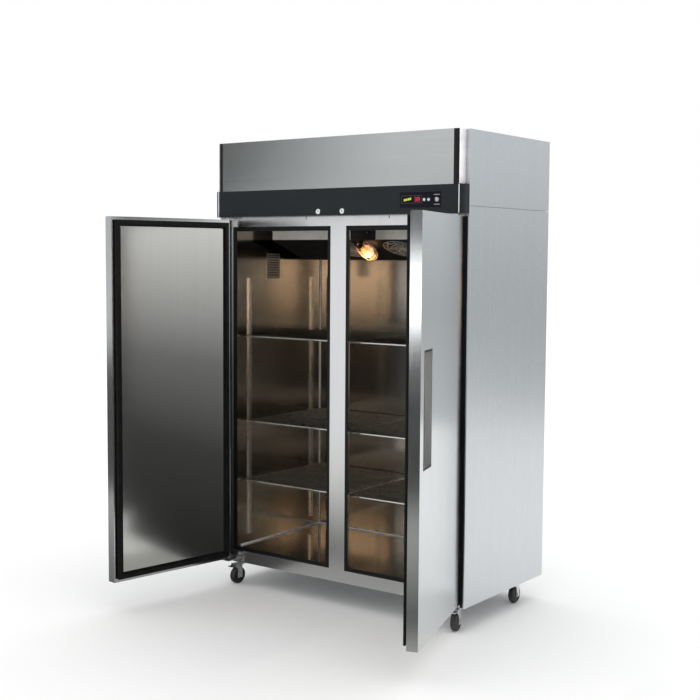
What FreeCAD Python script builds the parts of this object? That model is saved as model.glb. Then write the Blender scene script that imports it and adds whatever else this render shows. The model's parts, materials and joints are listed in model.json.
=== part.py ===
import FreeCAD, Part
import math
import os
import re

Vector = FreeCAD.Vector
Rotation = FreeCAD.Rotation
Placement = FreeCAD.Placement
X_AXIS = Vector(1, 0, 0)
Y_AXIS = Vector(0, 1, 0)
Z_AXIS = Vector(0, 0, 1)

doc = FreeCAD.newDocument("reach_in_refrigerator")

# Driving dimensions in millimetres and degrees.  Z = 0 is the underside of the cabinet, Y = 0 is the
# middle of its depth, the doors are on the -Y side.
DIMENSIONS = [
    ("body_width", 1364, "over the side panels"),
    ("body_depth", 704, "side panel, front hem to back"),
    ("body_height", 1995, "underside to top edge, without casters"),
    ("seam_z", 1682, "top of the lower side panels"),
    ("seam_gap", 2, "shadow gap in the side panels"),
    ("skin", 2, "outer sheet"),
    ("flange_width", 25, "folded front edge of a side panel"),
    ("flange_recess", 6, "how far that edge sits back"),
    ("face_y", -334, "front of the face frame"),
    ("frame_sheet", 2, "face frame sheet"),
    ("sill_top", 57, "base rail height"),
    ("header_low", 1608, "underside of the header rail"),
    ("jamb_x", 623, "inner edge of a front jamb"),
    ("mullion_half", 43, "half the mullion width"),
    ("mullion_deep", 34, "mullion tube depth"),
    ("strip_wide", 24, "breaker strip beside a jamb"),
    ("strip_narrow", 16, "breaker strip beside the mullion"),
    ("strip_low", 19, "breaker strip above the sill"),
    ("strip_high", 21, "breaker strip under the header"),
    ("strip_deep", 2, "breaker strip depth"),
    ("liner", 1.5, "inner sheet"),
    ("liner_x", 604, "inside of a side liner"),
    ("liner_back_y", 318, "inside of the back liner"),
    ("liner_low_z", 72, "compartment floor"),
    ("liner_high_z", 1612, "compartment ceiling"),
    ("front_y", -396, "outer face of doors, fascia and service panel"),
    ("fascia_low", 1652, "underside of the control fascia"),
    ("fascia_high", 1771, "top of the control fascia"),
    ("fascia_half", 680, "half the fascia length"),
    ("fascia_wall", 6, "fascia wall"),
    ("fascia_round", 20, "fascia end radius"),
    ("service_half", 631.5, "half the service panel length"),
    ("cap_half", 656, "outer side of an end cap"),
    ("cap_round", 12, "end cap front radius"),
    ("display_x", 471.5, "middle of the display module"),
    ("display_z", 1710, "middle of the display module"),
    ("display_long", 203, "display module length"),
    ("display_tall", 64, "display module height"),
    ("button_x", 491, "first button"),
    ("button_pitch", 22, "between the buttons"),
    ("button_radius", 4.5, ""),
    ("button_gap", 0.35, "radial gap round a button"),
    ("lock_x", 66, "key lock either side of the middle"),
    ("lock_z", 1670, "key lock height"),
    ("lock_radius", 9, "key lock core"),
    ("running_gap", 0.06, "radial clearance of a turning fit"),
    ("evaporator_half", 542, "half the evaporator length"),
    ("evaporator_front", -140, "front of the evaporator cover"),
    ("evaporator_back", 300, "back of the evaporator cover"),
    ("deck_high", 1550, "front edge of the fan deck"),
    ("deck_low", 1455, "underside of the drain pan"),
    ("deck_break", 104, "where the sloping deck meets the drain pan"),
    ("deck_wall", 3, "fan deck wall"),
    ("fan_x", 155, "evaporator fan either side of the middle"),
    ("fan_y", -45, "evaporator fan position"),
    ("fan_radius", 72, "evaporator fan tip"),
    ("fan_hole", 78, "hole in the fan deck"),
    ("guard_radius", 92, "outer ring of a fan guard"),
    ("shaft_radius", 3, "fan motor shaft"),
    ("lamp_half", 67, "half the lamp bracket length"),
    ("pilaster_wide", 18, ""),
    ("pilaster_deep", 8, ""),
    ("pilaster_low", 122, ""),
    ("pilaster_high", 1367, ""),
    ("pilaster_front_y", -240, "front pilaster on a side wall"),
    ("pilaster_rear_y", 245, "rear pilaster on a side wall"),
    ("shelf_inner_x", 14, "shelf end beside the middle"),
    ("shelf_outer_x", 590, "shelf end beside the wall"),
    ("shelf_front_y", -288, ""),
    ("shelf_rear_y", 302, ""),
    ("shelf_low_z", 398, "top of the bottom shelf"),
    ("shelf_mid_z", 687, "top of the middle shelf"),
    ("shelf_high_z", 1095, "top of the top shelf"),
    ("rail_radius", 4, "shelf border wire"),
    ("wire_radius", 2, "shelf deck wire"),
    ("wire_count", 27, "deck wires in a shelf"),
    ("wire_pitch", 20.25, "between deck wires"),
    ("clip_thick", 4, ""),
    ("clip_long", 18, ""),
    ("door_free_x", 3, "free edge of a closed door"),
    ("door_hinge_x", 656, "hinge edge of a closed door"),
    ("door_thick", 45, ""),
    ("door_low", 18, ""),
    ("door_high", 1641, ""),
    ("door_sheet", 1.5, ""),
    ("door_rim", 14, "metal rim outside the gasket"),
    ("gasket_wide", 28, ""),
    ("gasket_deep", 16.7, ""),
    ("dish_rise", 6, "how far the inner panel stands up inside the gasket"),
    ("pivot_x", 643.4, "hinge pin"),
    ("pivot_y", -372.3, "hinge pin"),
    ("pin_radius", 6, "hinge pin"),
    ("pin_long", 18, "hinge pin inside the door"),
    ("socket_radius", 10, "hinge socket in the door"),
    ("socket_long", 25, ""),
    ("right_open", 107.5, "stored angle of the right door"),
    ("left_open", 99.5, "stored angle of the left door"),
    ("pull_free_x", 46.5, "pull cup edge beside the free edge"),
    ("pull_hinge_x", 167.5, "pull cup far edge"),
    ("pull_low", 682.5, ""),
    ("pull_high", 1135.5, ""),
    ("pull_deep", 29.5, ""),
    ("pull_wall", 1.5, ""),
    ("caster_x", 612, "caster swivel"),
    ("caster_front_y", -285, ""),
    ("caster_rear_y", 240, ""),
    ("plate_long", 84, "caster plate"),
    ("plate_thick", 4, ""),
    ("plate_recess", 0.5, "how far a caster plate is let into the base pan"),
    ("king_radius", 6, "caster king pin"),
    ("wheel_radius", 40, ""),
    ("wheel_wide", 30, ""),
    ("wheel_z", -72, "axle height"),
    ("trail", 28, "axle behind the swivel"),
    ("axle_radius", 5, ""),
    ("compressor_x", -330, ""),
    ("compressor_radius", 85, ""),
    ("compressor_tall", 150, ""),
    ("condenser_x", 240, "middle of the condenser"),
    ("condenser_long", 420, ""),
    ("condenser_tall", 220, ""),
    ("condenser_fan_radius", 95, ""),
    ("cord_hole_radius", 11, "mains cord entry"),
]

sheet = doc.addObject("Spreadsheet::Sheet", "dims")
for row, (alias, value, note) in enumerate(DIMENSIONS, start=1):
    sheet.set("A%d" % row, alias)
    sheet.set("B%d" % row, str(value))
    sheet.set("C%d" % row, note)
    sheet.setAlias("B%d" % row, alias)
doc.recompute()

ALIASES = {alias for alias, _, _ in DIMENSIONS}
nodes = []


def cells(expression):
    """The expression with each alias pointing at the sheet."""
    return re.sub(
        r"[a-z_]+", lambda word: "dims." + word[0] if word[0] in ALIASES else word[0], str(expression)
    )


def value_of(alias):
    return float(sheet.get(alias))


def bind(item, properties):
    for name, expression in properties.items():
        item.setExpression(name, cells(expression))
    return item


def place(item, position):
    """Binds the position of a piece to the sheet."""
    return bind(item, {"Placement.Base." + axis: where for axis, where in zip("xyz", position)})


def span_box(name, x_span, y_span, z_span):
    """A box from its low and high expression along each axis."""
    item = doc.addObject("Part::Box", name)
    for prop, (low, high) in zip(("Length", "Width", "Height"), (x_span, y_span, z_span)):
        bind(item, {prop: "(%s) - (%s)" % (high, low)})
    return place(item, [low for low, _ in (x_span, y_span, z_span)])


def cylinder(name, radius, height, position, axis=Z_AXIS):
    item = doc.addObject("Part::Cylinder", name)
    item.Placement = Placement(Vector(), Rotation(Z_AXIS, axis))
    bind(item, {"Radius": radius, "Height": height})
    return place(item, position)


def torus(name, ring_radius, wire, position):
    item = doc.addObject("Part::Torus", name)
    bind(item, {"Radius1": ring_radius, "Radius2": wire})
    return place(item, position)


def cut(name, base, tool):
    item = doc.addObject("Part::Cut", name)
    item.Base = base
    item.Tool = tool
    return item


def fuse(name, pieces):
    item = doc.addObject("Part::MultiFuse", name)
    item.Shapes = pieces
    return item


def group(name, pieces):
    """Separate solids that share one node."""
    item = doc.addObject("Part::Compound", name)
    item.Links = pieces
    return item


def node(item, label=None):
    item.Label = label or item.Name
    nodes.append(item)
    return item


def spans(side, low, high):
    """An X span on the right side, or its mirror on the left."""
    if side > 0:
        return (low, high)
    return ("-(%s)" % high, "-(%s)" % low)


def mirrored_x(side, where):
    return where if side > 0 else "-(%s)" % where


SIDES = (("left", -1), ("right", 1))


# ---------------------------------------------------------------- cabinet shell
def side_panel(name, side, z_span):
    """An outer side sheet with its folded front edge."""
    wall = span_box(
        name + "_sheet",
        spans(side, "body_width / 2 - skin", "body_width / 2"),
        ("-body_depth / 2", "body_depth / 2"),
        z_span,
    )
    edge_front = "-body_depth / 2 + flange_recess"
    edge = span_box(
        name + "_edge",
        spans(side, "body_width / 2 - flange_width", "body_width / 2 - skin / 2"),
        (edge_front, edge_front + " + skin"),
        z_span,
    )
    return fuse(name, [wall, edge])


def cabinet_shell():
    upper = []
    for word, side in SIDES:
        node(side_panel(word + "_side_panel", side, ("0", "seam_z")))
        upper.append(side_panel(word + "_upper_panel", side, ("seam_z + seam_gap", "body_height")))
    node(group("upper_side_panels", upper))
    across = ("-body_width / 2 + skin", "body_width / 2 - skin")
    back = ("body_depth / 2 - skin", "body_depth / 2")
    node(span_box("back_panel", across, back, ("0", "seam_z")))
    pan = span_box(
        "base_pan_sheet", across, ("face_y + frame_sheet", "body_depth / 2 - skin"), ("0", "skin")
    )
    recesses = []
    for name, side, y, _, _ in CASTERS:
        x = mirrored_x(side, "caster_x")
        half = "(plate_long / 2 + 0.5)"
        recesses.append(
            span_box(
                name + "_recess",
                (x + " - " + half, x + " + " + half),
                (y + " - " + half, y + " + " + half),
                ("-5", "plate_recess"),
            )
        )
    node(cut("base_pan", pan, fuse("base_recesses", recesses)))
    node(
        span_box(
            "machine_deck",
            across,
            ("-body_depth / 2 + flange_recess + skin", "body_depth / 2 - skin"),
            ("seam_z - skin", "seam_z"),
        )
    )
    rear_grille(across, back)


def rear_grille(across, back):
    """Louvred rear cover of the machine compartment, with the mains cord entry."""
    plate = span_box("grille_plate", across, back, ("seam_z + seam_gap", "body_height"))
    through = ("body_depth / 2 - 3 * skin", "body_depth / 2 + 3 * skin")
    slots = []
    for bank, middle in enumerate((-420, 0, 420)):
        for rung in range(9):
            low = "seam_z + %d" % (58 + 26 * rung)
            slots.append(
                span_box(
                    "louvre_%d_%d" % (bank, rung),
                    ("%d - 165" % middle, "%d + 165" % middle),
                    through,
                    (low, low + " + 10"),
                )
            )
    entry = cylinder(
        "cord_entry", "cord_hole_radius", "6 * skin", ("600", through[0], "seam_z + 40"), Y_AXIS
    )
    node(cut("rear_grille", plate, fuse("grille_openings", slots + [entry])))


def insulation_and_liner():
    """Foam between the outer sheets and the compartment, and the compartment's own sheets."""
    inner_x = "body_width / 2 - skin"
    foam_front = "face_y + frame_sheet"
    block = span_box(
        "foam_block",
        ("-(%s)" % inner_x, inner_x),
        (foam_front, "body_depth / 2 - skin"),
        ("skin", "seam_z - skin"),
    )
    cavity = span_box(
        "foam_cavity",
        ("-liner_x - liner", "liner_x + liner"),
        ("face_y - 20", "liner_back_y + liner"),
        ("liner_low_z - liner", "liner_high_z + liner"),
    )
    node(cut("foam_insulation", block, cavity))
    depth = ("face_y + strip_deep", "liner_back_y")
    height = ("liner_low_z", "liner_high_z")
    walls = [
        span_box(word + "_liner", spans(side, "liner_x", "liner_x + liner"), depth, height)
        for word, side in SIDES
    ]
    outer = ("-liner_x - liner", "liner_x + liner")
    walls.append(span_box("back_liner", outer, ("liner_back_y", "liner_back_y + liner"), height))
    node(group("wall_liners", walls))
    full_depth = ("face_y + strip_deep", "liner_back_y + liner")
    node(span_box("floor_liner", outer, full_depth, ("liner_low_z - liner", "liner_low_z")))
    node(span_box("ceiling_liner", outer, full_depth, ("liner_high_z", "liner_high_z + liner")))


def face_frame():
    """Header, sill, jambs and mullion, welded into one frame, and the breaker strips inside it."""
    half = "body_width / 2 - skin"
    front = ("face_y", "face_y + frame_sheet")
    plate = span_box("frame_plate", ("-(%s)" % half, half), front, ("0", "seam_z - skin"))
    windows = []
    strips = []
    for word, side in SIDES:
        window = (spans(side, "mullion_half", "jamb_x"), ("sill_top", "header_low"))
        windows.append(span_box(word + "_window", window[0], ("face_y - 5", "face_y + 5"), window[1]))
        border = span_box(
            word + "_strip_border", window[0], ("face_y", "face_y + strip_deep"), window[1]
        )
        hole = span_box(
            word + "_strip_hole",
            spans(side, "mullion_half + strip_narrow", "jamb_x - strip_wide"),
            ("face_y - 5", "face_y + 10"),
            ("sill_top + strip_low", "header_low - strip_high"),
        )
        strips.append(cut(word + "_strip", border, hole))
    frame = cut("frame_with_windows", plate, fuse("frame_windows", windows))
    tube_z = ("liner_low_z", "liner_high_z")
    mullion = span_box(
        "mullion_outside", ("-mullion_half", "mullion_half"), ("face_y", "face_y + mullion_deep"), tube_z
    )
    hollow = span_box(
        "mullion_inside",
        ("-mullion_half + frame_sheet", "mullion_half - frame_sheet"),
        ("face_y + frame_sheet", "face_y + mullion_deep - frame_sheet"),
        ("liner_low_z - 5", "liner_high_z + 5"),
    )
    node(fuse("face_frame", [frame, cut("mullion_tube", mullion, hollow)]))
    node(group("breaker_strips", strips))


# ---------------------------------------------------------------- top front
def rounded_bar(name, x_span, round_low, round_high, radius, z_span, back):
    """A bar whose front corners are rounded at the chosen ends."""
    low, high = x_span
    core_low = "%s + %s" % (low, radius) if round_low else low
    core_high = "%s - %s" % (high, radius) if round_high else high
    tall = "(%s) - (%s)" % (z_span[1], z_span[0])
    pieces = [
        span_box(name + "_core", (core_low, core_high), ("front_y", back), z_span),
        span_box(name + "_rear", x_span, ("front_y + " + radius, back), z_span),
    ]
    if round_low:
        pieces.append(
            cylinder(name + "_low_round", radius, tall, (core_low, "front_y + " + radius, z_span[0]))
        )
    if round_high:
        pieces.append(
            cylinder(name + "_high_round", radius, tall, (core_high, "front_y + " + radius, z_span[0]))
        )
    return fuse(name, pieces)


def top_front():
    """The service panel, its end caps and the control fascia with what it carries."""
    back = "-body_depth / 2"
    z_span = ("fascia_high", "body_height")
    sheet_span = ("-service_half", "service_half")
    face = span_box("service_face", sheet_span, ("front_y", "front_y + skin"), z_span)
    top = span_box("service_top", sheet_span, ("front_y", back), ("body_height - skin", "body_height"))
    foot = span_box("service_foot", sheet_span, ("front_y", back), ("fascia_high", "fascia_high + skin"))
    node(fuse("service_panel", [face, top, foot]))
    caps = [
        rounded_bar("right_cap", ("service_half", "cap_half"), False, True, "cap_round", z_span, back),
        rounded_bar("left_cap", ("-cap_half", "-service_half"), True, False, "cap_round", z_span, back),
    ]
    node(group("end_caps", caps))
    control_fascia(back)


def control_fascia(back):
    bar = rounded_bar(
        "fascia_bar",
        ("-fascia_half", "fascia_half"),
        True,
        True,
        "fascia_round",
        ("fascia_low", "fascia_high"),
        back,
    )
    hollow = span_box(
        "fascia_hollow",
        ("-fascia_half + fascia_round", "fascia_half - fascia_round"),
        ("front_y + fascia_wall", back + " + 5"),
        ("fascia_low + fascia_wall", "fascia_high - fascia_wall"),
    )
    module_x = ("display_x - display_long / 2", "display_x + display_long / 2")
    module_z = ("display_z - display_tall / 2", "display_z + display_tall / 2")
    window = span_box("display_window", module_x, ("front_y - 5", "front_y + fascia_wall + 1"), module_z)
    bores = []
    for word, side in SIDES:
        bores.append(
            cylinder(
                word + "_lock_bore",
                "lock_radius + running_gap",
                "fascia_wall + 10",
                (mirrored_x(side, "lock_x"), "front_y - 5", "lock_z"),
                Y_AXIS,
            )
        )
    node(cut("control_fascia", bar, fuse("fascia_openings", [hollow, window] + bores)))
    display_module(module_x, module_z)
    for word, side in SIDES:
        lock_core(word, side)


def display_module(module_x, module_z):
    block = span_box("display_block", module_x, ("front_y - 1", "front_y + 12"), module_z)
    holes = []
    for word, step in (("up", 0), ("down", 1)):
        centre = "button_x + %d * button_pitch" % step
        holes.append(
            cylinder(
                word + "_button_hole",
                "button_radius + button_gap",
                "7",
                (centre, "front_y - 3", "display_z"),
                Y_AXIS,
            )
        )
        node(
            cylinder(
                word + "_button", "button_radius", "4.5", (centre, "front_y - 2.5", "display_z"), Y_AXIS
            )
        )
    node(cut("display_module", block, fuse("button_holes", holes)))


def lock_core(word, side):
    """Key lock: barrel, rim outside the fascia, key slot and the cam behind."""
    x = mirrored_x(side, "lock_x")
    barrel = cylinder(
        word + "_barrel", "lock_radius", "22", (x, "front_y - 2", "lock_z"), Y_AXIS
    )
    rim = cylinder(word + "_rim", "lock_radius + 2", "2", (x, "front_y - 2.4", "lock_z"), Y_AXIS)
    cam = span_box(
        word + "_cam",
        (x + " - 6", x + " + 13"),
        ("front_y + 16", "front_y + 19"),
        ("lock_z - 5", "lock_z + 5"),
    )
    slot = span_box(
        word + "_key_slot",
        (x + " - 1", x + " + 1"),
        ("front_y - 5", "front_y + 8"),
        ("lock_z - 4", "lock_z + 4"),
    )
    node(cut(word + "_lock_core", fuse(word + "_core_solid", [barrel, rim, cam]), slot))


# ---------------------------------------------------------------- evaporator
DECK_ANGLE = math.degrees(
    math.atan2(
        value_of("deck_high") - value_of("deck_low"),
        value_of("deck_break") - value_of("evaporator_front"),
    )
)
DECK_TILT = Rotation(X_AXIS, -DECK_ANGLE)


def deck_point(x, drop):
    """A point of the fan deck's underside at the fan position, moved out along its normal."""
    slope = math.radians(DECK_ANGLE)
    y = value_of("fan_y")
    z = value_of("deck_high") - (y - value_of("evaporator_front")) * math.tan(slope)
    return Vector(x, y - drop * math.sin(slope), z - drop * math.cos(slope))


def wedge(name, x_half, y_span, low_z, high_z):
    """A solid between a floor that slopes along Y and a level top."""
    item = doc.addObject("Part::Wedge", name)
    bind(
        item,
        {
            "Xmin": "-(%s)" % x_half,
            "X2min": "-(%s)" % x_half,
            "Xmax": x_half,
            "X2max": x_half,
            "Ymin": y_span[0],
            "Ymax": y_span[1],
            "Zmin": low_z[0],
            "Z2min": low_z[1],
            "Zmax": high_z,
            "Z2max": high_z,
        },
    )
    return item


def fan_deck():
    """Black tray under the evaporator: sloping fan deck in front, drain pan behind."""
    half = "evaporator_half"
    thin = "deck_wall"
    outer = fuse(
        "deck_outer",
        [
            wedge(
                "deck_slope",
                half,
                ("evaporator_front", "deck_break"),
                ("deck_high - 4", "deck_low"),
                "deck_high",
            ),
            span_box(
                "deck_pan",
                ("-" + half, half),
                ("deck_break", "evaporator_back"),
                ("deck_low", "deck_high"),
            ),
        ],
    )
    hollow = fuse(
        "deck_hollow",
        [
            wedge(
                "deck_slope_hollow",
                half + " - " + thin,
                ("evaporator_front + 3 * deck_wall", "deck_break"),
                ("deck_high - 4", "deck_low + deck_wall"),
                "deck_high + 10",
            ),
            span_box(
                "deck_pan_hollow",
                ("-%s + %s" % (half, thin), "%s - %s" % (half, thin)),
                ("deck_break", "evaporator_back - deck_wall"),
                ("deck_low + deck_wall", "deck_high + 10"),
            ),
        ],
    )
    shell = cut("deck_shell", outer, hollow)
    holes = []
    for word, side in SIDES:
        hole = cylinder(word + "_fan_hole", "fan_hole", "40", ("0", "0", "0"))
        for axis in "xyz":
            hole.setExpression("Placement.Base." + axis, None)
        hole.Placement = Placement(deck_point(side * value_of("fan_x"), 20), DECK_TILT)
        holes.append(hole)
    node(cut("fan_deck", shell, fuse("fan_holes", holes)))


def fan_guard(name, x):
    """Wire guard: rings, radial wires and a centre disc, in the plane of the deck."""
    at_origin = ("0", "0", "0")
    pieces = [
        torus("%s_ring_%d" % (name, step), "guard_radius * %g" % share, "1.6", at_origin)
        for step, share in enumerate((1.0, 0.78, 0.56, 0.34))
    ]
    pieces.append(cylinder(name + "_disc", "20", "2.4", ("0", "0", "-1.2")))
    for spoke in range(12):
        wire = cylinder("%s_wire_%d" % (name, spoke), "1.2", "guard_radius - 10", at_origin)
        turn = Rotation(Z_AXIS, 30 * spoke).multiply(Rotation(Y_AXIS, 90))
        wire.Placement = Placement(Vector(), turn)
        reach = turn.multVec(Vector(0, 0, 10))
        for axis, offset in zip("xyz", reach):
            wire.setExpression("Placement.Base." + axis, "%.6f" % offset)
        pieces.append(wire)
    guard = fuse(name, pieces)
    guard.Placement = Placement(deck_point(x, 6), DECK_TILT)
    return guard


def fan(name, radius, hub, deep, place_at, tilt, blades=5):
    """Axial fan: hub with a shaft bore and pitched blades."""
    pieces = [cylinder(name + "_hub", str(hub), str(deep), ("0", "0", "0"))]
    for blade in range(blades):
        vane = doc.addObject("Part::Box", "%s_blade_%d" % (name, blade))
        bind(vane, {"Length": "%s - %g" % (radius, hub - 3), "Width": str(2.2 * hub), "Height": "2"})
        pitch = Rotation(X_AXIS, 24)
        turn = Rotation(Z_AXIS, 360.0 * blade / blades).multiply(pitch)
        start = turn.multVec(Vector(hub - 3, -1.1 * hub, -1))
        vane.Placement = Placement(Vector(0, 0, deep / 2.0) + start, turn)
        pieces.append(vane)
    solid = fuse(name + "_solid", pieces)
    rim = cylinder(name + "_reach", radius, str(deep), ("0", "0", "0"))
    trimmed = doc.addObject("Part::Common", name + "_trimmed")
    trimmed.Base = solid
    trimmed.Tool = rim
    bore = cylinder(name + "_bore", "shaft_radius + running_gap", str(deep - 4), ("0", "0", "4"))
    finished = cut(name, trimmed, bore)
    finished.Placement = Placement(place_at, tilt)
    return finished


def fan_motor(name, place_at, tilt, reach, deep, foot_low):
    """Motor can, shaft and the bar that carries it across the hole."""
    can = cylinder(name + "_can", "24", "34", ("0", "0", "%g" % (deep + 3)))
    shaft = cylinder(name + "_shaft", "shaft_radius", str(deep + 2), ("0", "0", "5"))
    bar = span_box(
        name + "_bar",
        ("-%s" % reach, reach),
        ("-8", "8"),
        ("%g" % (deep + 20), "%g" % (deep + 23)),
    )
    feet = [
        span_box(
            "%s_foot_%s" % (name, word),
            spans(side, reach + " - 4", reach),
            ("-8", "8"),
            ("%g" % foot_low, "%g" % (deep + 23)),
        )
        for word, side in SIDES
    ]
    motor = fuse(name, [can, shaft, bar] + feet)
    motor.Placement = Placement(place_at, tilt)
    return motor


EVAPORATOR_FAN_DEEP = 22
CONDENSER_FAN_DEEP = 30


def evaporator():
    outer = span_box(
        "cover_outer",
        ("-evaporator_half", "evaporator_half"),
        ("evaporator_front", "evaporator_back"),
        ("deck_high", "liner_high_z"),
    )
    inner = span_box(
        "cover_inner",
        ("-evaporator_half + liner", "evaporator_half - liner"),
        ("evaporator_front + liner", "evaporator_back - liner"),
        ("deck_high - 5", "liner_high_z - liner"),
    )
    node(cut("evaporator_cover", outer, inner))
    fan_deck()
    guards = []
    motors = []
    for word, side in SIDES:
        x = side * value_of("fan_x")
        guards.append(fan_guard(word + "_guard", x))
        seat = deck_point(x, 0)
        node(fan(word + "_fan", "fan_radius", 22, EVAPORATOR_FAN_DEEP, seat, DECK_TILT))
        motors.append(
            fan_motor(word + "_motor", seat, DECK_TILT, "fan_hole + 6", EVAPORATOR_FAN_DEEP, 0.8)
        )
    node(group("fan_guards", guards))
    node(group("fan_motors", motors))
    node(
        finned_coil(
            "evaporator_coil",
            ("-440", "440"),
            ("deck_break + 12", "evaporator_back - 12"),
            ("deck_low + 18", "deck_high + 40"),
            24,
        )
    )


def finned_coil(name, x_span, y_span, z_span, count):
    """Sheet fins on straight tubes."""
    pieces = []
    for fin in range(count):
        low = "(%s) + ((%s) - (%s) - 1) * %g" % (x_span[0], x_span[1], x_span[0], fin / (count - 1))
        pieces.append(span_box("%s_fin_%d" % (name, fin), (low, low + " + 1"), y_span, z_span))
    for level in (0.25, 0.75):
        for rank in (0.2, 0.5, 0.8):
            tube = cylinder(
                "%s_tube_%d" % (name, round(10 * level + 100 * rank)),
                "5",
                "(%s) - (%s) + 24" % (x_span[1], x_span[0]),
                (
                    "(%s) - 12" % x_span[0],
                    "(%s) + ((%s) - (%s)) * %g" % (y_span[0], y_span[1], y_span[0], rank),
                    "(%s) + ((%s) - (%s)) * %g" % (z_span[0], z_span[1], z_span[0], level),
                ),
                X_AXIS,
            )
            pieces.append(tube)
    return fuse(name, pieces)


# ---------------------------------------------------------------- lamp
LAMP_START = Vector(0, -176, 1532)
LAMP_TILT = Rotation(Z_AXIS, Vector(0, 0.92, -0.40))
LAMP_SOCKET = 42
LAMP_GUARD = 112


def lamp():
    """Bracket box, socket and wire guard in one node, and the bulb in the socket."""
    at_origin = ("0", "0", "0")
    box = span_box(
        "lamp_box",
        ("-lamp_half", "lamp_half"),
        ("evaporator_front - 46", "evaporator_front"),
        ("deck_high", "liner_high_z"),
    )
    neck = span_box("lamp_neck", ("-12", "12"), ("-184", "-158"), ("1532", "deck_high + 1"))
    socket = cylinder("lamp_socket", "16", str(LAMP_SOCKET), at_origin)
    socket_hole = cylinder("lamp_socket_hole", "12.2", str(LAMP_SOCKET), ("0", "0", "16"))
    wires = [torus("lamp_ring_base", "19", "4", ("0", "0", "%d - 5" % LAMP_SOCKET))]
    for step in (0.5, 1.0):
        height = LAMP_SOCKET + step * LAMP_GUARD
        wires.append(torus("lamp_ring_%d" % (10 * step), "23", "1.4", ("0", "0", "%g" % height)))
    for wire in range(8):
        angle = math.radians(45 * wire)
        position = ("%.4f" % (23 * math.cos(angle)), "%.4f" % (23 * math.sin(angle)), "%d - 6" % LAMP_SOCKET)
        wires.append(cylinder("lamp_wire_%d" % wire, "1.2", "%d + 6" % LAMP_GUARD, position))
    for bar in range(2):
        turn = Rotation(Z_AXIS, 90 * bar).multiply(Rotation(Y_AXIS, 90))
        cross = doc.addObject("Part::Cylinder", "lamp_cross_%d" % bar)
        bind(cross, {"Radius": "1.2", "Height": "46"})
        start = turn.multVec(Vector(0, 0, -23))
        cross.Placement = Placement(start + Vector(0, 0, LAMP_SOCKET + LAMP_GUARD), turn)
        wires.append(cross)
    barrel = cut("lamp_barrel", fuse("lamp_barrel_solid", [socket] + wires), socket_hole)
    barrel.Placement = Placement(LAMP_START, LAMP_TILT)
    node(fuse("lamp_holder", [box, neck, barrel]))
    stem = cylinder("bulb_stem", "12", "70", ("0", "0", "16"))
    globe = doc.addObject("Part::Sphere", "bulb_globe")
    bind(globe, {"Radius": "17.5"})
    place(globe, ("0", "0", "%d + 62" % LAMP_SOCKET))
    waist = cylinder("bulb_waist", "14", "40", ("0", "0", "%d + 18" % LAMP_SOCKET))
    bulb = fuse("lamp_bulb", [stem, waist, globe])
    bulb.Placement = Placement(LAMP_START, LAMP_TILT)
    node(bulb)


# ---------------------------------------------------------------- shelving
SHELF_LEVELS = (("bottom", "shelf_low_z"), ("middle", "shelf_mid_z"), ("top", "shelf_high_z"))


def slotted_bar(name, x_span, y_span):
    return span_box(name, x_span, y_span, ("pilaster_low", "pilaster_high"))


def pilasters_and_clips():
    """Slotted uprights on the walls, the mullion and the back, and the clips hooked into them."""
    half = "pilaster_wide / 2"
    bars = []
    for word, side in SIDES:
        for place_word, y in (("front", "pilaster_front_y"), ("rear", "pilaster_rear_y")):
            bars.append(
                slotted_bar(
                    "%s_%s_pilaster" % (word, place_word),
                    spans(side, "liner_x - pilaster_deep", "liner_x"),
                    (y + " - " + half, y + " + " + half),
                )
            )
    mullion_back = "face_y + mullion_deep"
    bars.append(
        slotted_bar(
            "mullion_pilaster", ("-" + half, half), (mullion_back, mullion_back + " + pilaster_deep")
        )
    )
    bars.append(
        slotted_bar("back_pilaster", ("-" + half, half), ("liner_back_y - pilaster_deep", "liner_back_y"))
    )
    node(group("pilasters", bars))
    clips = []
    for level, top in SHELF_LEVELS:
        seat = top + " - 2 * rail_radius - 1.05"
        z_span = (seat + " - clip_thick", seat)
        for word, side in SIDES:
            for place_word, y in (("front", "pilaster_front_y"), ("rear", "pilaster_rear_y")):
                clips.append(
                    span_box(
                        "%s_%s_%s_clip" % (level, word, place_word),
                        spans(side, "liner_x - pilaster_deep - clip_long", "liner_x - pilaster_deep"),
                        (y + " - 6", y + " + 6"),
                        z_span,
                    )
                )
        for place_word, y_span in (
            ("mullion", (mullion_back + " + pilaster_deep", mullion_back + " + pilaster_deep + 14")),
            ("back", ("liner_back_y - pilaster_deep - 18", "liner_back_y - pilaster_deep")),
        ):
            clips.append(
                span_box("%s_%s_clip" % (level, place_word), ("-28", "28"), y_span, z_span)
            )
    node(group("shelf_clips", clips))


def wire_shelf():
    """Welded wire shelf: border, bearers and the deck wires on them, with its top at Z = 0."""
    rail_z = "-rail_radius - 1"
    across = "shelf_outer_x - shelf_inner_x"
    along = "shelf_rear_y - shelf_front_y - 2 * rail_radius"
    front = "shelf_front_y + rail_radius"
    pieces = []
    for step, share in enumerate((0, 0.28, 0.5, 0.72, 1)):
        radius = "rail_radius" if share in (0, 1) else "rail_radius * 0.75"
        at = ("0", "%s + (%s) * %g" % (front, along, share), rail_z)
        pieces.append(cylinder("shelf_bearer_%d" % step, radius, across, at, X_AXIS))
    for end, x in enumerate(("rail_radius", "%s - rail_radius" % across)):
        pieces.append(
            cylinder("shelf_end_%d" % end, "rail_radius * 0.9", along, (x, front, rail_z), Y_AXIS)
        )
    for wire in range(int(value_of("wire_count"))):
        x = "(%s) / 2 + (%d - (wire_count - 1) / 2) * wire_pitch" % (across, wire)
        pieces.append(
            cylinder("shelf_wire_%d" % wire, "wire_radius", along, (x, front, "-wire_radius"), Y_AXIS)
        )
    return fuse("wire_shelf", pieces)


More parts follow.
